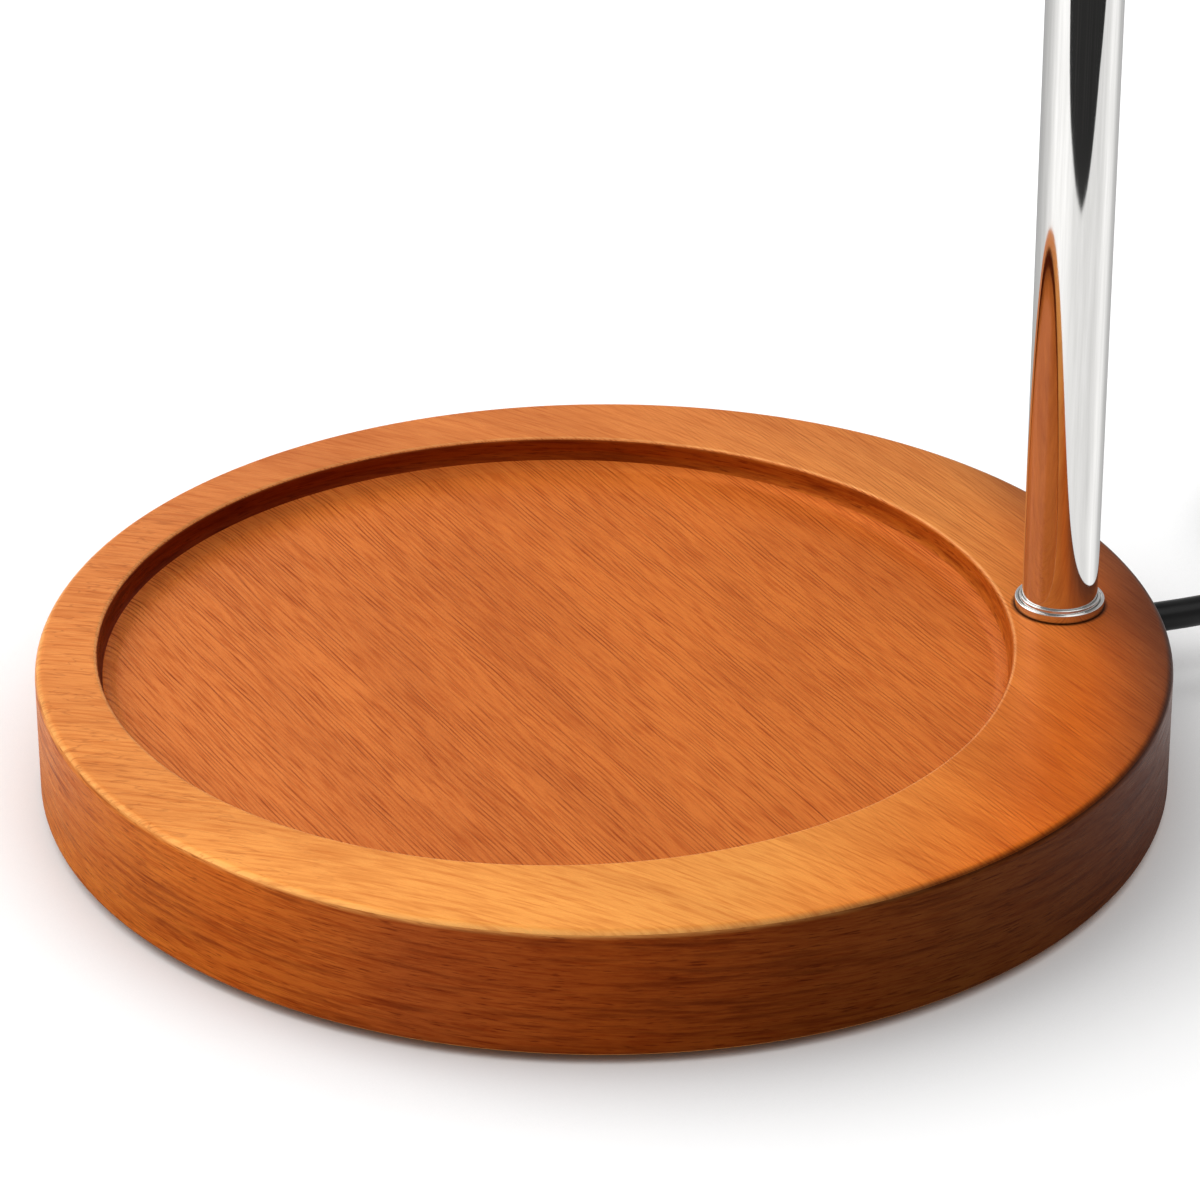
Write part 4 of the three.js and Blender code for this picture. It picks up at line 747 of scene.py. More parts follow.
lacquer = Finish("white_lacquer", tint(236, 234, 228), 0.4, IOR=1.5)
sprayed = lacquer.mottle(0.7, 3.0, 0.6)
lacquer.uneven(sprayed, (228, 225, 217), (240, 239, 234), 0.32, 0.5)
lacquer.raised(sprayed, 0.05, 0.4)
shade.data.materials.append(lacquer.material)
dome_middle = Vector((head_x, 0, lacquer_middle))
for face in shade.data.polygons:
    inward = face.normal.dot(face.center - dome_middle) < 0
    face.material_index = int(inward and face.center.z > lacquer_start)

# Socket cap and ring: a turned chrome cap sits on the shade, its spigot passes
# through the shade's hole, and the ring below clamps the two together.
cap_top, cap_radius, spigot_end, spigot_radius = 260 * mm, 17.5 * mm, 226 * mm, 15 * mm
cap_bore, recess_radius, cap_roof, cap_step = 13.8 * mm, 10 * mm, 257 * mm, 251 * mm
socket_cap = turned("head_cap", rounded([
    (cap_bore, spigot_end, 0.3 * mm),
    (spigot_radius, spigot_end, 0.3 * mm),
    (spigot_radius, shade_top, 0),
    (cap_radius, shade_top, 0.3 * mm),
    (cap_radius, cap_top, 7 * mm),
    (tube_seat, cap_top, 0.3 * mm),
    (tube_seat, cap_roof, 0),
    (recess_radius, cap_roof, 0),
    (recess_radius, cap_step, 0),
    (cap_bore, cap_step, 0),
], 12), sides=128, x=head_x)
fitted(socket_cap, chrome, "arm", "chrome", "socket_cap")
ring_bottom, ring_top, ring_radius = 228 * mm, 234 * mm, 19 * mm
shade_ring = turned("clamp_ring", rounded([
    (shade_hole, ring_bottom, 0.3 * mm),
    (ring_radius, ring_bottom, 0.6 * mm),
    (ring_radius, ring_top, 0.2 * mm),
    (shade_hole, ring_top, 0),
]), sides=128, x=head_x)
fitted(shade_ring, chrome, "arm", "chrome", "shade_ring")

# Lamp holder: an unglazed ceramic block with two pin holes, hung in the cap on a
# steel strap. The silicone-covered lead that ends in it runs down through arm and
# pole, and is slack in the pole, so that it gives when the head goes up or down.
ceramic = Finish("unglazed_ceramic", tint(238, 234, 222), 0.6, IOR=1.5)
ceramic.uneven(ceramic.mottle(0.5, 4.0, 0.6), (228, 222, 206), (242, 239, 229), 0.5, 0.72)
ceramic.raised(ceramic.mottle(4), 0.03, 0.5)
silicone = Finish("silicone_lead", tint(216, 212, 200), 0.55, IOR=1.42)
silicone.uneven(silicone.mottle(0.6), (204, 199, 185), (222, 219, 208), 0.45, 0.65)
refinished(silicone, "arm_lead", "block_lead")
silicone_radius, lead_steps = 1.5 * mm, 41
lead_foot, lead_head = (corner[2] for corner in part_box("pole_lead"))
lead_sides = [(silicone_radius, z) for z in np.linspace(lead_foot, lead_head, lead_steps)]
slack_lead = turned("slack_lead", [(0, lead_foot), *lead_sides, (0, lead_head)], sides=24, x=pole_x)
slack_lead.data.materials.append(silicone.material)
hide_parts("pole_lead")
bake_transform(slack_lead)
holder_face, holder_top, holder_radius = 228 * mm, 244 * mm, 13.5 * mm
holder = turned("ceramic_holder", rounded([
    (0, holder_face, 0),
    (holder_radius, holder_face, 0.8 * mm),
    (holder_radius, holder_top, 0.8 * mm),
    (0, holder_top, 0),
]), sides=96, x=head_x)
pin_pitch, pin_hole, pin_depth = 10 * mm, 2.9 * mm, 7.4 * mm
strap_pitch, strap_hole, strap_depth = 21 * mm, 1.55 * mm, 7 * mm
holder_cuts = [
    rod(pin_hole, holder_face - past, holder_face + pin_depth, 32, head_x, side * pin_pitch / 2)
    for side in (-1, 1)
]
holder_cuts += [
    rod(strap_hole, holder_top - strap_depth, holder_top + past, 24, head_x + side * strap_pitch / 2)
    for side in (-1, 1)
]
machined(holder, *holder_cuts)
fitted(holder, ceramic, "arm", "ceramic", "lamp_holder")

# Bulb: a pressed glass reflector with a mirror coating, closed by a frosted front
# lens with pressed ripples. Inside it stands a small clear capsule.
bulb_top, bulb_face, flare_top = 227.7 * mm, 181.7 * mm, 215.7 * mm
bulb_neck, bulb_radius, bulb_lip, glass_wall, neck_bevel = 10 * mm, 25 * mm, 2 * mm, 1 * mm, 0.5 * mm


def flare(inset, steps=24):
    """The reflector's side, from its rim up to its neck."""
    reach = bulb_radius - bulb_neck
    drop = flare_top - bulb_face - bulb_lip
    turns = np.linspace(0, math.pi / 2, steps)
    return [
        (bulb_neck - inset + reach * math.cos(t), bulb_face + bulb_lip + drop * math.sin(t))
        for t in turns
    ]


reflector_profile = [(0, flare_top)] + flare(glass_wall)[::-1]
reflector_profile += [(bulb_radius - glass_wall, bulb_face), (bulb_radius, bulb_face)] + flare(0)
reflector_profile += [(bulb_neck, bulb_top - neck_bevel), (bulb_neck - neck_bevel, bulb_top), (0, bulb_top)]
coated_glass = Finish("mirror_coated_glass", tint(208, 212, 218), 0.16, Metallic=1.0)
coated_glass.uneven(coated_glass.mottle(0.25), (196, 200, 208), (220, 223, 228), 0.12, 0.24)
cells = coated_glass.step("TexVoronoi", coated_glass.place(), None, 0.28, feature="SMOOTH_F1")
coated_glass.raised(cells.outputs["Distance"], 0.4, 0.5)
reflector = turned("bulb_glass", reflector_profile, sides=96, x=head_x)
fitted(reflector, coated_glass, "arm", "reflector_glass", "bulb_reflector")
lens_radius, lens_sag = 23.95 * mm, 1.5 * mm
lens_profile = [(0, bulb_face - lens_sag)] + [
    (lens_radius * math.cos(t), bulb_face - lens_sag * math.sin(t))
    for t in np.radians(np.linspace(88, 0, 12))
]
lens_profile += [(lens_radius, bulb_face + lens_sag), (0, bulb_face + lens_sag)]
frosted = Finish("pressed_lens", tint(236, 241, 242), 0.22, IOR=1.48, Transmission_Weight=0.85)
ripples = frosted.step("TexVoronoi", frosted.place(), None, 0.36, feature="SMOOTH_F1").outputs["Distance"]
frosted.gives("Base Color", frosted.ramp(ripples, (0.1, tint(226, 232, 234)), (0.9, tint(246, 248, 248))))
frosted.raised(ripples, 0.5, 0.8)
lens = turned("front_lens", lens_profile, sides=96, x=head_x)
fitted(lens, frosted, "arm", "lens_glass", "bulb_lens")
clear_glass = Finish("capsule_glass", tint(240, 243, 243), 0.06, IOR=1.46, Transmission_Weight=0.9)
clear_glass.uneven(clear_glass.mottle(0.6, 2.0), (230, 234, 235), (248, 249, 249), 0.03, 0.14)
capsule_radius, capsule_bottom = 4.5 * mm, flare_top - 17 * mm
capsule = turned("bulb_core", rounded([
    (0, capsule_bottom, 0),
    (capsule_radius, capsule_bottom, 3.8 * mm),
    (capsule_radius, flare_top, 0),
    (0, flare_top, 0),
], 10), sides=64, x=head_x)
fitted(capsule, clear_glass, "arm", "capsule_glass", "bulb_capsule")

# Strain relief: a black rubber sleeve moulded on the lead, with a flange that seats
# on the side of the base. Inside, the lead's sheath ends at a terminal block.
relief_face, relief_middle, relief_end = 92 * mm, 80.75 * mm, 71.5 * mm
relief_bore, relief_tip, relief_radius = 2.55 * mm, 3 * mm, 3.85 * mm
flange_radius, seat_gap = 4.7 * mm, 0.3 * mm
relief = turned("lead_sleeve", rounded([
    (relief_bore, relief_end, 0),
    (relief_tip, relief_end, 0),
    (relief_radius, relief_middle, 0),
    (relief_radius, base_radius + seat_gap, 0),
    (flange_radius, base_radius + seat_gap, 0),
    (flange_radius, relief_face, 0.8 * mm),
    (relief_bore, relief_face, 0.25 * mm),
]), 64)
lying(relief, cord_turn, (0, 0, cord_height))
fitted(relief, rubber, "base", "relief_rubber", "strain_relief")
red_wire = Finish("red_wire", tint(150, 40, 28), 0.38, IOR=1.5)
red_wire.uneven(red_wire.mottle(0.5), (132, 32, 22), (166, 50, 36), 0.3, 0.48)
refinished(red_wire, "supply_wire")

# Lead: round two-core mains lead, 5 mm across, in a smooth black sheath with a satin
# sheen. It leaves the base, comes down to the table and runs to the dimmer.
sheath = Finish("lead_sheath", tint(8, 8, 8), 0.34, IOR=1.5, Specular_IOR_Level=0.18)
sheath.uneven(sheath.mottle(0.12, 4.0, 0.6), (9, 9, 9), (20, 20, 20), 0.24, 0.4, high=0.72)
sheath.raised(sheath.mottle(0.9), 0.06, 0.3)
refinished(sheath, "inner_sheath")
cord_radius, cord_rest = 2.5 * mm, 2.6 * mm


def laid(points, gap=1.2 * mm):
    """A smooth line through given points, with a point every gap."""
    points = np.array(points, float)
    points = np.vstack([2 * points[0] - points[1], points, 2 * points[-1] - points[-2]])
    line = []
    for p in np.lib.stride_tricks.sliding_window_view(points, (4, 3))[:, 0]:
        knots = np.concatenate([[0], np.cumsum(np.linalg.norm(np.diff(p, axis=0), axis=1) ** 0.5)])
        count = max(2, round(np.linalg.norm(p[2] - p[1]) / gap))
        for t in np.linspace(knots[1], knots[2], count, endpoint=False):
            low = [
                p[i] + (p[i + 1] - p[i]) * (t - knots[i]) / (knots[i + 1] - knots[i])
                for i in (0, 1, 2)
            ]
            mid = [
                low[i] + (low[i + 1] - low[i]) * (t - knots[i]) / (knots[i + 2] - knots[i])
                for i in (0, 1)
            ]
            line.append(mid[0] + (mid[1] - mid[0]) * (t - knots[1]) / (knots[2] - knots[1]))
    return np.array(line + [points[-2]])


def lead(name, line):
    """A lead of the sheath's thickness along a line, and its length."""
    curve = bpy.data.curves.new(name, "CURVE")
    curve.dimensions = "3D"
    curve.bevel_depth, curve.bevel_resolution, curve.use_fill_caps = cord_radius, 6, True
    spline = curve.splines.new("POLY")
    spline.points.add(len(line) - 1)
    spline.points.foreach_set("co", np.hstack([line, np.ones((len(line), 1))]).ravel())
    piece = bpy.data.objects.new(name, curve)
    bpy.context.scene.collection.objects.link(piece)
    return piece, float(np.linalg.norm(np.diff(line, axis=0), axis=1).sum())


def out_of_base(reach):
    """A spot straight out of the base's side, at a reach from its middle, in millimetres."""
    return [reach * math.cos(cord_turn) / mm, reach * math.sin(cord_turn) / mm, cord_height / mm]


dimmer_x, dimmer_y = 166, -43
rest = cord_rest / mm
dimmer_route = np.array([
    out_of_base(relief_face + seat_gap), out_of_base(99.7 * mm), out_of_base(107 * mm),
    [113.9, 14.2, 10.8], [121.2, 11, 9.6], [126.9, 5.5, 7.7], [130.3, -1.7, 5.5], [130.9, -9.6, 3.9],
    [129.6, -21.6, 2.7], [128.3, -33.7, rest], [127, -45.7, rest], [125.7, -57.7, rest],
    [124.4, -69.7, rest], [123.1, -81.7, rest], [123.7, -89.4, rest], [126.9, -96.4, rest],
    [132.4, -101.8, rest], [139.5, -104.9, rest], [147.2, -105.3, 2.9], [154.6, -103, 4],
    [160.6, -98.2, 5.9], [164.6, -91.6, 8.1], [dimmer_x, -84, 9.5], [dimmer_x, -79.2, 9.9],
    [dimmer_x, -74.3, 10],
]) * mm
dimmer_lead, dimmer_lead_length = lead("lead_to_dimmer", laid(dimmer_route))
fitted(dimmer_lead, sheath, "base", "cord_black", "cord_to_dimmer")

# Dimmer: two moulded black shells, screwed together round a small board, with a
# ribbed thumb wheel that shows at the side.
dimmer_high, dimmer_mid, dimmer_corner = 20 * mm, 10 * mm, 12 * mm
dimmer_half_width, dimmer_half_length, dimmer_wall = 14 * mm, 31 * mm, 1.8
lead_bore, post_radius, post_foot = 2.55 * mm, 2.8 * mm, 0.9 * mm
thread_hole, head_hole, head_depth = 1.25 * mm, 2.25 * mm, 1.9 * mm
wheel_x, wheel_room, wheel_slot_half = dimmer_x + 4, 13.5 * mm, 3.5 * mm
screw_spots = [(dimmer_x - 7.5, dimmer_y - 20.5), (dimmer_x + 7.5, dimmer_y + 20.5)]


def dimmer_ring(inset, z, per_corner=14):
    """The dimmer's outline in plan, drawn in by an inset."""
    ring, radius = [], dimmer_corner - inset
    for sx, sy, start in ((1, -1, -90), (1, 1, 0), (-1, 1, 90), (-1, -1, 180)):
        cx = dimmer_x * mm + sx * (dimmer_half_width - dimmer_corner)
        cy = dimmer_y * mm + sy * (dimmer_half_length - dimmer_corner)
        for t in np.radians(start + np.linspace(0, 90, per_corner)):
            ring.append((cx + radius * math.cos(t), cy + radius * math.sin(t), z))
    return ring


def dimmer_shell(name, up):
    """One shell of the dimmer: the lower one, or the upper one as its mirror image."""
    def level(z):
        return dimmer_high - z if up else z

    edge = 2.4 * mm
    turns = np.radians(np.linspace(0, 90, 8))
    rings = [dimmer_ring(edge + 0.4 * mm, level(0))]
    rings += [dimmer_ring(edge * (1 - math.sin(t)), level(edge * (1 - math.cos(t)))) for t in turns]
    rings += [dimmer_ring(0, level(dimmer_mid - 0.25 * mm)), dimmer_ring(0.25 * mm, level(dimmer_mid))]
    inside = ((3, dimmer_wall), (dimmer_wall, 3), (dimmer_wall, 11))
    hollow = [dimmer_ring(inset * mm, level(z * mm)) for inset, z in inside]
    shell = shaped(name, *skin(rings))
    machined(shell, shaped("cutter", *skin(hollow)))
    posts = [
        rod(post_radius, level(post_foot), level(dimmer_mid), 32, x * mm, y * mm)
        for x, y in screw_spots
    ]
    machined(shell, *posts, operation="UNION")
    bore = rod(lead_bore, -2 * dimmer_high, 2 * dimmer_high, 48)
    bore.data.transform(Matrix.Rotation(math.pi / 2, 4, "X"))
    bore.data.transform(Matrix.Translation((dimmer_x * mm, dimmer_y * mm, dimmer_mid)))
    slot_ends = (dimmer_mid - wheel_slot_half, dimmer_mid + wheel_slot_half)
    wheel_slot = rod(wheel_room, *slot_ends, 96, wheel_x * mm, dimmer_y * mm)
    return machined(shell, bore, wheel_slot)


dimmer_base = dimmer_shell("dimmer_lower_shell", up=False)
screw_cuts = [rod(thread_hole, -past, dimmer_mid + past, 24, x * mm, y * mm) for x, y in screw_spots]
screw_cuts += [rod(head_hole, -past, head_depth, 40, x * mm, y * mm) for x, y in screw_spots]
machined(dimmer_base, *screw_cuts)
fitted(dimmer_base, black_plastic, "base", "black_plastic", "dimmer_base")
dimmer_cover = dimmer_shell("dimmer_upper_shell", up=True)
thread_end = 16.2 * mm
cover_cuts = [
    rod(thread_hole, dimmer_mid - past, thread_end, 24, x * mm, y * mm) for x, y in screw_spots
]
machined(dimmer_cover, *cover_cuts)
fitted(dimmer_cover, black_plastic, "base", "black_plastic", "dimmer_cover")

board = Finish("lacquered_board", tint(44, 96, 58), 0.35, IOR=1.5)
board.uneven(board.mottle(0.5), (36, 82, 48), (58, 116, 72), 0.28, 0.48)
refinished(board, "dimmer_board")
wheel_plastic = Finish("wheel_plastic", tint(34, 34, 36), 0.38, IOR=1.5)
wheel_plastic.uneven(wheel_plastic.mottle(0.3), (28, 28, 30), (44, 44, 46), 0.3, 0.5)
wheel_radius, wheel_ribs, wheel_rib_depth, wheel_bore = 13, 28, 0.7 * mm, 2.65 * mm
wheel_stations = (
    (10, -3), (0.6, -3), (0.2, -2.85), (0, -2.4), (0, 2.4), (0.2, 2.85), (0.6, 3), (10, 3)
)
wheel_rings = [
    ribbed((wheel_radius - inset) * mm, wheel_rib_depth * (inset < 4), wheel_ribs, z * mm)
    for inset, z in wheel_stations
]
wheel = shaped("thumb_wheel", *skin(wheel_rings), sharp=45)
machined(wheel, rod(wheel_bore, -4 * past, 4 * past, 40), sharp=45)
wheel.data.transform(Matrix.Translation((wheel_x * mm, dimmer_y * mm, dimmer_mid)))
fitted(wheel, wheel_plastic, "wheel", "wheel_plastic", "dimmer_wheel")
fixing_profile = in_mm([(0, 0.3), (1.9, 0.3), (2.2, 0.6), (2.2, 1.9), (1.2, 1.9), (1.2, 14.9), (0, 14.9)])
for number, (x, y) in enumerate(screw_spots, 1):
    screw = turned(f"dimmer_fixing_{number}", fixing_profile, 40, x * mm, y * mm)
    machined(screw, *cross_recess(x * mm, y * mm, seat_gap))
    fitted(screw, steel, "base", "steel", f"dimmer_screw_{number}")

# Wound lead: the rest of the lead runs from the dimmer into a flat coil of six and a
# half turns in two layers, and out of it to the plug.
coil_middle, coil_reach, coil_pitch, coil_turns, coil_climb = (160, 55), 38, 5.55, 6.5, 5.5


def coil_point(turn):
    """A point of the coil: it spirals in, climbs in half a turn, and spirals out on top."""
    reach = coil_reach - coil_pitch * min(turn, coil_turns - turn)
    angle = math.pi - 2 * math.pi * turn
    climb = min(max((turn - coil_turns / 2) * 2 + 0.5, 0), 1)
    x, y = (c + reach * f(angle) for c, f in zip(coil_middle, (math.cos, math.sin)))
    return [x, y, rest + coil_climb * climb]


coil_line = [coil_point(turn) for turn in np.linspace(0, coil_turns, 1001)]
plug_x, plug_front, plug_rear, plug_mid = 198, -6, 32, 8
to_coil = [
    [dimmer_x, -11.7, 10], [dimmer_x, -6.7, 9.9], [165, 0.4, 9.2], [161.9, 7, 7.9], [157.1, 12.4, 6],
    [151, 16.2, 4.2], [144, 18.1, 3.1], [137, 20, rest], [130.9, 23.8, rest], [126.1, 29.2, rest],
    [123, 35.8, rest], [122, 42.9, rest], [121.88, 49.7, rest],
]
tail = [[198.12, 49.7, 8.1], [plug_x, 41, 8.05], [plug_x, plug_rear + 0.3, plug_mid]]
wound_line = [laid(np.array(to_coil) * mm), np.array(coil_line) * mm, laid(np.array(tail) * mm)]
wound_line = np.vstack(wound_line)
wound_lead, wound_lead_length = lead("wound_lead", wound_line)
fitted(wound_lead, sheath, "base", "cord_black", "cord_to_coil", "cord_coil", "cord_tail")

# Tie: a flat plastic-covered wire, bent once round all the turns of the coil and
# twisted shut on top. The coil's weight presses it thin underneath.
tie_black = Finish("tie_covering", tint(30, 30, 31), 0.5, IOR=1.5)
creases = tie_black.mottle(1.4, 4.0, 0.6)
tie_black.uneven(creases, (24, 24, 25), (52, 52, 53), 0.4, 0.62)
tie_black.raised(creases, 0.08, 0.6)
tie_half_width, knot_y, knot_height, strand_radius = 1.75, 84, 12.15, 0.48


def tie_loop(near, far, low, high, fillet):
    """An outline round the coil's turns, from their inner to their outer side."""
    return rounded([(near, low, fillet), (far, low, fillet), (far, high, fillet), (near, high, fillet)])


tie_inside = tie_loop(17.4, 39.2, 0.09, 10.65, 2.4)
tie_outside = tie_loop(16.9, 39.7, 0.01, 11.1, 2.8)
tie_rings = [
    [((coil_middle[0] + side * tie_half_width) * mm, (coil_middle[1] + reach) * mm, z * mm)
     for side, (reach, z) in ((-1, inner), (1, inner), (1, outer), (-1, outer))]
    for inner, outer in zip(tie_inside, tie_outside)
]
tie = shaped("coil_tie", *skin(tie_rings, joined=True), sharp=50)


def twisted_strand(start):
    """One of the two ends of the tie, wound round the other on top of the coil."""
    rings = []
    for step in np.linspace(0, 1, 61):
        turn = start + step * 5 * math.pi
        spread = 0.5 * min(1, 0.3 + 4 * step)
        middle = Vector((coil_middle[0] + 11 * step, knot_y + 2.5 * step, knot_height))
        middle += Vector((0, math.cos(turn), math.sin(turn))) * spread
        rings.append([
            (middle + Vector((0, math.cos(t), math.sin(t))) * strand_radius) * mm
            for t in np.arange(12) * 2 * math.pi / 12
        ])
    return shaped("cutter", *skin(rings), sharp=50)


machined(tie, twisted_strand(0), twisted_strand(math.pi), operation="UNION", sharp=50)
fitted(tie, tie_black, "base", "black_plastic")

# Plug: moulded in one with the lead, in satin black, with a tapered neck and two
# flat brass blades.
plug_black = Finish("moulded_plug", tint(27, 27, 29), 0.36, IOR=1.5)
plug_black.uneven(plug_black.mottle(0.15), (21, 21, 23), (35, 35, 37), 0.3, 0.46)
plug_black.raised(plug_black.mottle(3), 0.02, 0.4)


def plug_ring(wide, high, square, y, count=96):
    """A cross section of the plug: an ellipse when square is 1, and boxier below it."""
    ring = []
    for t in np.arange(count) * 2 * math.pi / count:
        c, s = math.cos(t), math.sin(t)
        ring.append((
            (plug_x + wide * math.copysign(abs(c) ** square, c)) * mm,
            y * mm,
            (plug_mid + high * math.copysign(abs(s) ** square, s)) * mm,
        ))
    return ring


plug_stations = np.array([
    [2.75, 2.75, 1, plug_rear], [3.1, 3.1, 1, 31.2], [3.5, 3.5, 1, 24.5], [4.25, 4.25, 1, 17],
    [5.4, 4.9, 0.95, 15], [7.8, 5.7, 0.86, 12.6], [10, 6.5, 0.8, 10], [11.1, 7.4, 0.68, 5],
    [11.5, 8, 0.6, -3], [11.5, 8, 0.6, -4.5], [11.2, 7.7, 0.6, -5.4], [10.5, 7, 0.6, -5.9],
    [9.9, 6.4, 0.6, plug_front],
])
plug_body = shaped("plug_moulding", *skin([plug_ring(*s) for s in plug_stations]), sharp=50)
blade_pitch, blade_half, blade_half_high, blade_end, blade_hole = 12.7, 0.75, 3.175, -23, -18
slot_room, slot_end, hole_radius = 0.05, -3, 1.6 * mm
blade_slots = []
for side in (-1, 1):
    slot = in_mm([
        (
            plug_x + side * blade_pitch / 2 + a * (blade_half + slot_room),
            y, plug_mid + b * (blade_half_high + slot_room),
        )
        for y in (plug_front - 1, slot_end) for a, b in ((-1, -1), (1, -1), (1, 1), (-1, 1))
    ])
    blade_slots.append(shaped("cutter", *skin([slot[:4], slot[4:]])))
machined(plug_body, *blade_slots, sharp=50)
fitted(plug_body, plug_black, "base", "plug_black", "plug_body")
blade_outline = [
    (slot_end - slot_room, -blade_half_high), (-22.2, -blade_half_high), (blade_end, -2.4),
    (blade_end, 2.4), (-22.2, blade_half_high), (slot_end - slot_room, blade_half_high),
]
for number, side in enumerate((-1, 1), 1):
    middle = plug_x + side * blade_pitch / 2
    rings = [
        in_mm([(middle + x, y + e, plug_mid + z * s) for y, z in blade_outline])
        for x, e, s in ((-blade_half, 0.25, 0.92), (-0.55, 0, 1), (0.55, 0, 1), (blade_half, 0.25, 0.92))
    ]
    blade = shaped(f"plug_pin_{number}", *skin(rings))
    hole_place = (middle * mm, blade_hole * mm, plug_mid * mm)
    machined(blade, lying(rod(hole_radius, -2 * past, 2 * past, 40), 0, hole_place))
    fitted(blade, brass, "base", "brass", f"plug_blade_{number}")

# The lead, the dimmer and the plug lie put away beside the lamp, and are hidden
# from reflections, so that no metal mirrors them.
put_away = [dimmer_lead, dimmer_base, dimmer_cover, wheel, wound_lead, tie, plug_body]
put_away += [frame["nodes"]["dimmer_board"]]
for name in ("dimmer_fixing", "plug_pin"):
    put_away += [bpy.data.objects[f"{name}_{number}"] for number in (1, 2)]
for piece in put_away:
    piece.visible_glossy = False

# Studio: a white table top that keeps the lamp's shadow and is dimmer in metal with
# the distance, a black card in front of it that only polished metal reflects, three
# large soft lamps from the left, the front and behind, and white surroundings.
def turn_round_pole(finish):
    """The direction from the pole to a spot of the table, from 0 to 1, with the front at 0.5."""
    spot = finish.step("TexCoord").outputs["Object"]
    away = finish.step("VectorMath", spot, (pole_x, 0, 0), operation="SUBTRACT")
    right_way, back_way, _ = finish.step("SeparateXYZ", away).outputs
    turn = finish.maths("ARCTAN2", right_way, finish.maths("MULTIPLY", back_way, -1.0))
    return finish.maths("MULTIPLY_ADD", turn, 0.5 / math.pi, 0.5)


floor_white = Finish("table_white", tint(218, 218, 218), 0.6)
rays = floor_white.step("LightPath").outputs
ambient_reach = 0.12
# Painted shade: the table's glow, which the camera sees, is dimmed by ambient occlusion near the lamp, and
# so paints a dark contact shadow round the base.
open_sky = floor_white.step("AmbientOcclusion", None, ambient_reach, samples=8).outputs["AO"]
glow = floor_white.maths("MULTIPLY", floor_white.maths("POWER", open_sky, 2.2), 0.42)
spot = floor_white.step("TexCoord").outputs["Object"]
from_middle = floor_white.step("VectorMath", spot, operation="LENGTH").outputs["Value"]
far_glow = floor_white.between(from_middle, 0.6, 2.5, 0.0, 0.75)
camera_glow = floor_white.maths("MULTIPLY", rays["Is Camera Ray"], floor_white.maths("ADD", glow, far_glow))
# Painted reflection: what metal sees of the table is a glow painted by the turn round the pole, darkened
# close beside the base and dimmer with distance, over a darker table colour.
reflected_base_shade = floor_white.between(from_middle, 0.088, 0.115)
fall_off = floor_white.between(from_middle, 0.42, 1.3, 1.0, 0.5)
painted_reflection = floor_white.ramp(
    turn_round_pole(floor_white),
    (0.0, 0.3), (0.08, 0.42), (0.18, 0.62), (0.26, 1.0), (0.37, 1.0), (0.45, 0.8),
    (0.66, 0.74), (0.72, 0.95), (0.77, 0.88), (0.83, 0.5), (0.92, 0.3),
)
metal_glow = rays["Is Glossy Ray"]
for share in (reflected_base_shade, fall_off, painted_reflection, 1.45):
    metal_glow = floor_white.maths("MULTIPLY", metal_glow, share)
in_metal = floor_white.mixed(rays["Is Glossy Ray"], tint(218, 218, 218), tint(60, 60, 60))
floor_white.gives("Base Color", in_metal)
floor_white.gives("Emission Color", (1, 1, 1, 1))
floor_white.gives("Emission Strength", floor_white.maths("ADD", camera_glow, metal_glow))
floor_white.gives("Specular IOR Level", 0.0)
table_half, table_drop = 6, -0.0001
table_corners = [
    (a * table_half, b * table_half, table_drop) for a, b in ((-1, -1), (1, -1), (1, 1), (-1, 1))
]
floor = shaped("table_top", table_corners, [(0, 1, 2, 3)])
floor.data.materials.append(floor_white.material)

near_edge = [
    (-230, -184), (-170, -190), (-115, -203), (-72, -216), (-26, -225), (29, -229),
    (77, -227), (117, -230), (190, -235), (260, -240), (336, -229),
]
card_points = [
    (pole_x + far * (x * mm - pole_x), far * y * mm, 0) for far in (1, 4) for x, y in near_edge
]
card_count = len(near_edge)
card_faces = [(i, i + 1, card_count + i + 1, card_count + i) for i in range(card_count - 1)]
card = shaped("black_card", card_points, card_faces)
card_black = Finish("card_black", tint(14, 14, 15), 0.9)
card_turn = card_black.step("CombineXYZ", turn_round_pole(card_black))
# Painted reflection: grey streaks across the black card, which only metal shows.
card_streaks = card_black.step("TexNoise", card_turn, None, 55.0, 2.0)
card_black.gives("Base Color", card_black.ramp(card_streaks, (0.5, tint(3, 3, 3)), (0.74, tint(40, 39, 38))))
card.data.materials.append(card_black.material)
card.visible_camera = card.visible_diffuse = card.visible_shadow = False
card.visible_transmission = False

world = bpy.data.worlds.new("white_surroundings")
world.use_nodes = True
bpy.context.scene.world = world
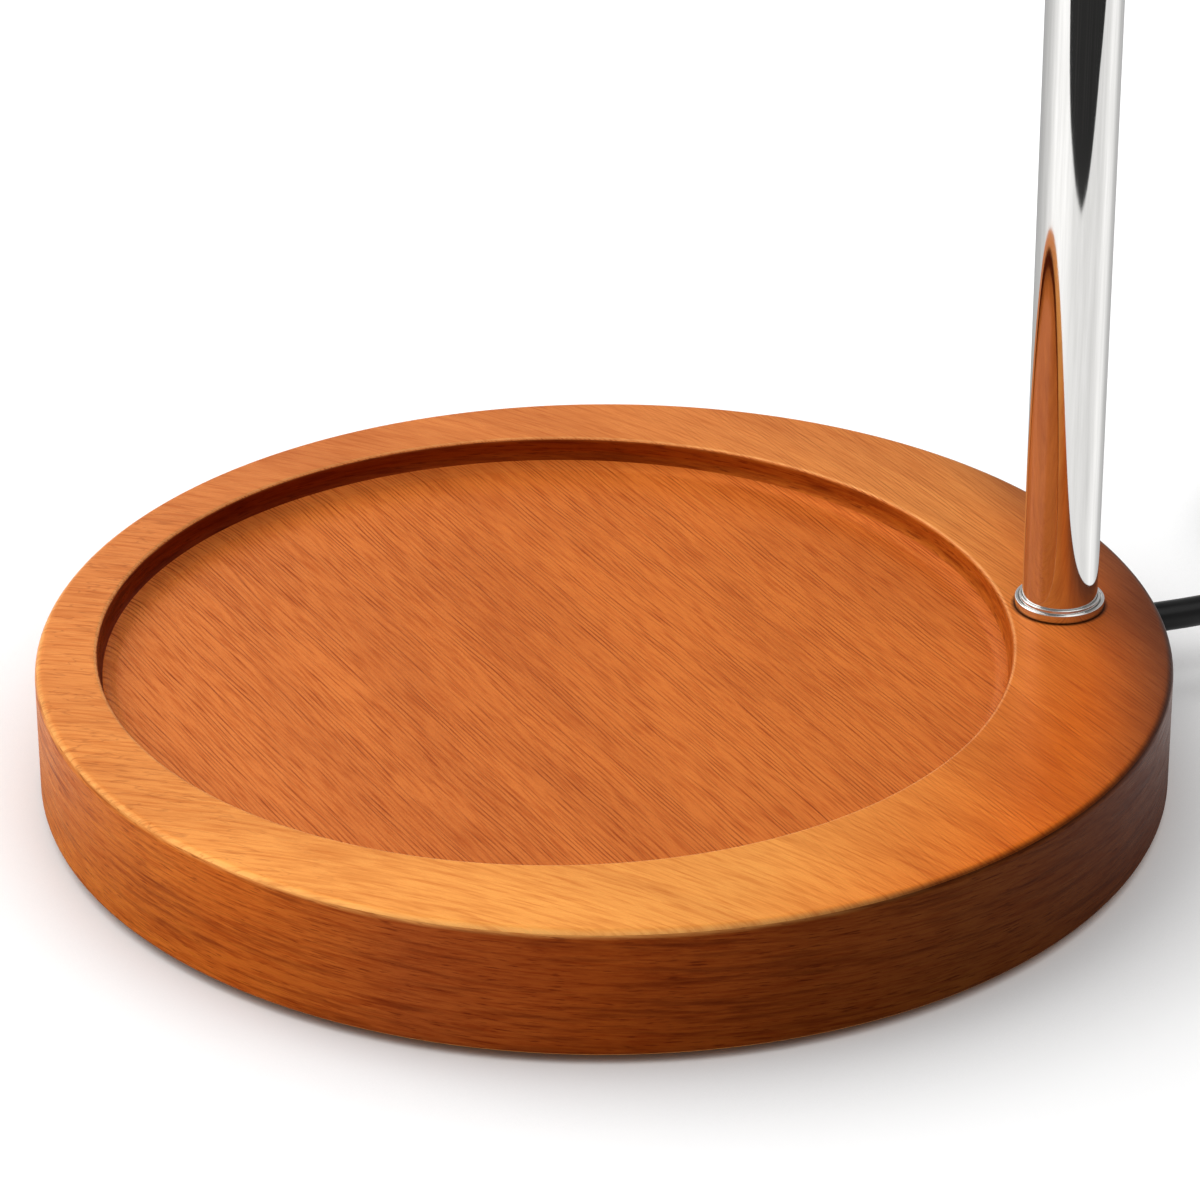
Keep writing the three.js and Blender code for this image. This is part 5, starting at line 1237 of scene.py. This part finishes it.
# White behind the lamp, and in its metal and glass, where it falls off overhead.
sky = Steps(world.node_tree)
path = sky.step("LightPath").outputs
upward = sky.step("SeparateXYZ", sky.step("TexCoord").outputs["Generated"]).outputs["Z"]
shiny = sky.maths("MAXIMUM", path["Is Glossy Ray"], path["Is Transmission Ray"])
falling_off = sky.maths("MULTIPLY_ADD", sky.maths("MAXIMUM", upward, 0.0), -0.6, 0.8)
seen = sky.maths("MAXIMUM", path["Is Camera Ray"], sky.maths("MULTIPLY", shiny, falling_off))
background = world.node_tree.nodes["Background"].inputs
sky.fill(background["Strength"], sky.maths("MAXIMUM", seen, 0.25))
sky.fill(background["Color"], (1, 1, 1, 1))


def soft_lamp(name, place, size, watts):
    """A square soft lamp that faces the middle of the base."""
    light = bpy.data.lights.new(name, "AREA")
    light.shape, light.size, light.energy = "SQUARE", size, watts
    lamp = bpy.data.objects.new(name, light)
    bpy.context.scene.collection.objects.link(lamp)
    aim = Vector((0, 0, 0.02)) - Vector(place)
    lamp.location, lamp.rotation_mode = place, "QUATERNION"
    lamp.rotation_quaternion = aim.to_track_quat("-Z", "Y")


soft_lamp("left_lamp", (-0.82, 0.22, 0.85), 1.3, 11.4)
soft_lamp("front_lamp", (0.42, -0.42, 1.05), 1.0, 5)
soft_lamp("back_lamp", (-0.326, 0.699, 0.92), 1.3, 6)

# Camera: fitted to the photograph's view of the round base, the tray, the pole and
# the collar. It looks down from the front, a little from the left, with a long lens.
slope, swing, roll = math.radians(27.217), math.radians(9.67), math.radians(-0.163)
right = Vector((math.cos(swing), -math.sin(swing), 0))
forward = Vector((math.cos(slope) * math.sin(swing), math.cos(slope) * math.cos(swing), -math.sin(slope)))
up = right.cross(forward)
tilted_right = right * math.cos(roll) + up * math.sin(roll)
tilted_up = up * math.cos(roll) - right * math.sin(roll)
lens = bpy.data.cameras.new("photo_view")
lens.lens, lens.sensor_width, lens.clip_start = 156, 36, 0.01
camera = bpy.data.objects.new("photo_view", lens)
axes = Matrix((tilted_right, tilted_up, -forward)).transposed().to_4x4()
camera.matrix_world = Matrix.Translation((-0.12337, -0.72037, 0.40547)) @ axes
bpy.context.scene.collection.objects.link(camera)
bpy.context.scene.camera = camera
bpy.context.scene.view_settings.view_transform = "Standard"
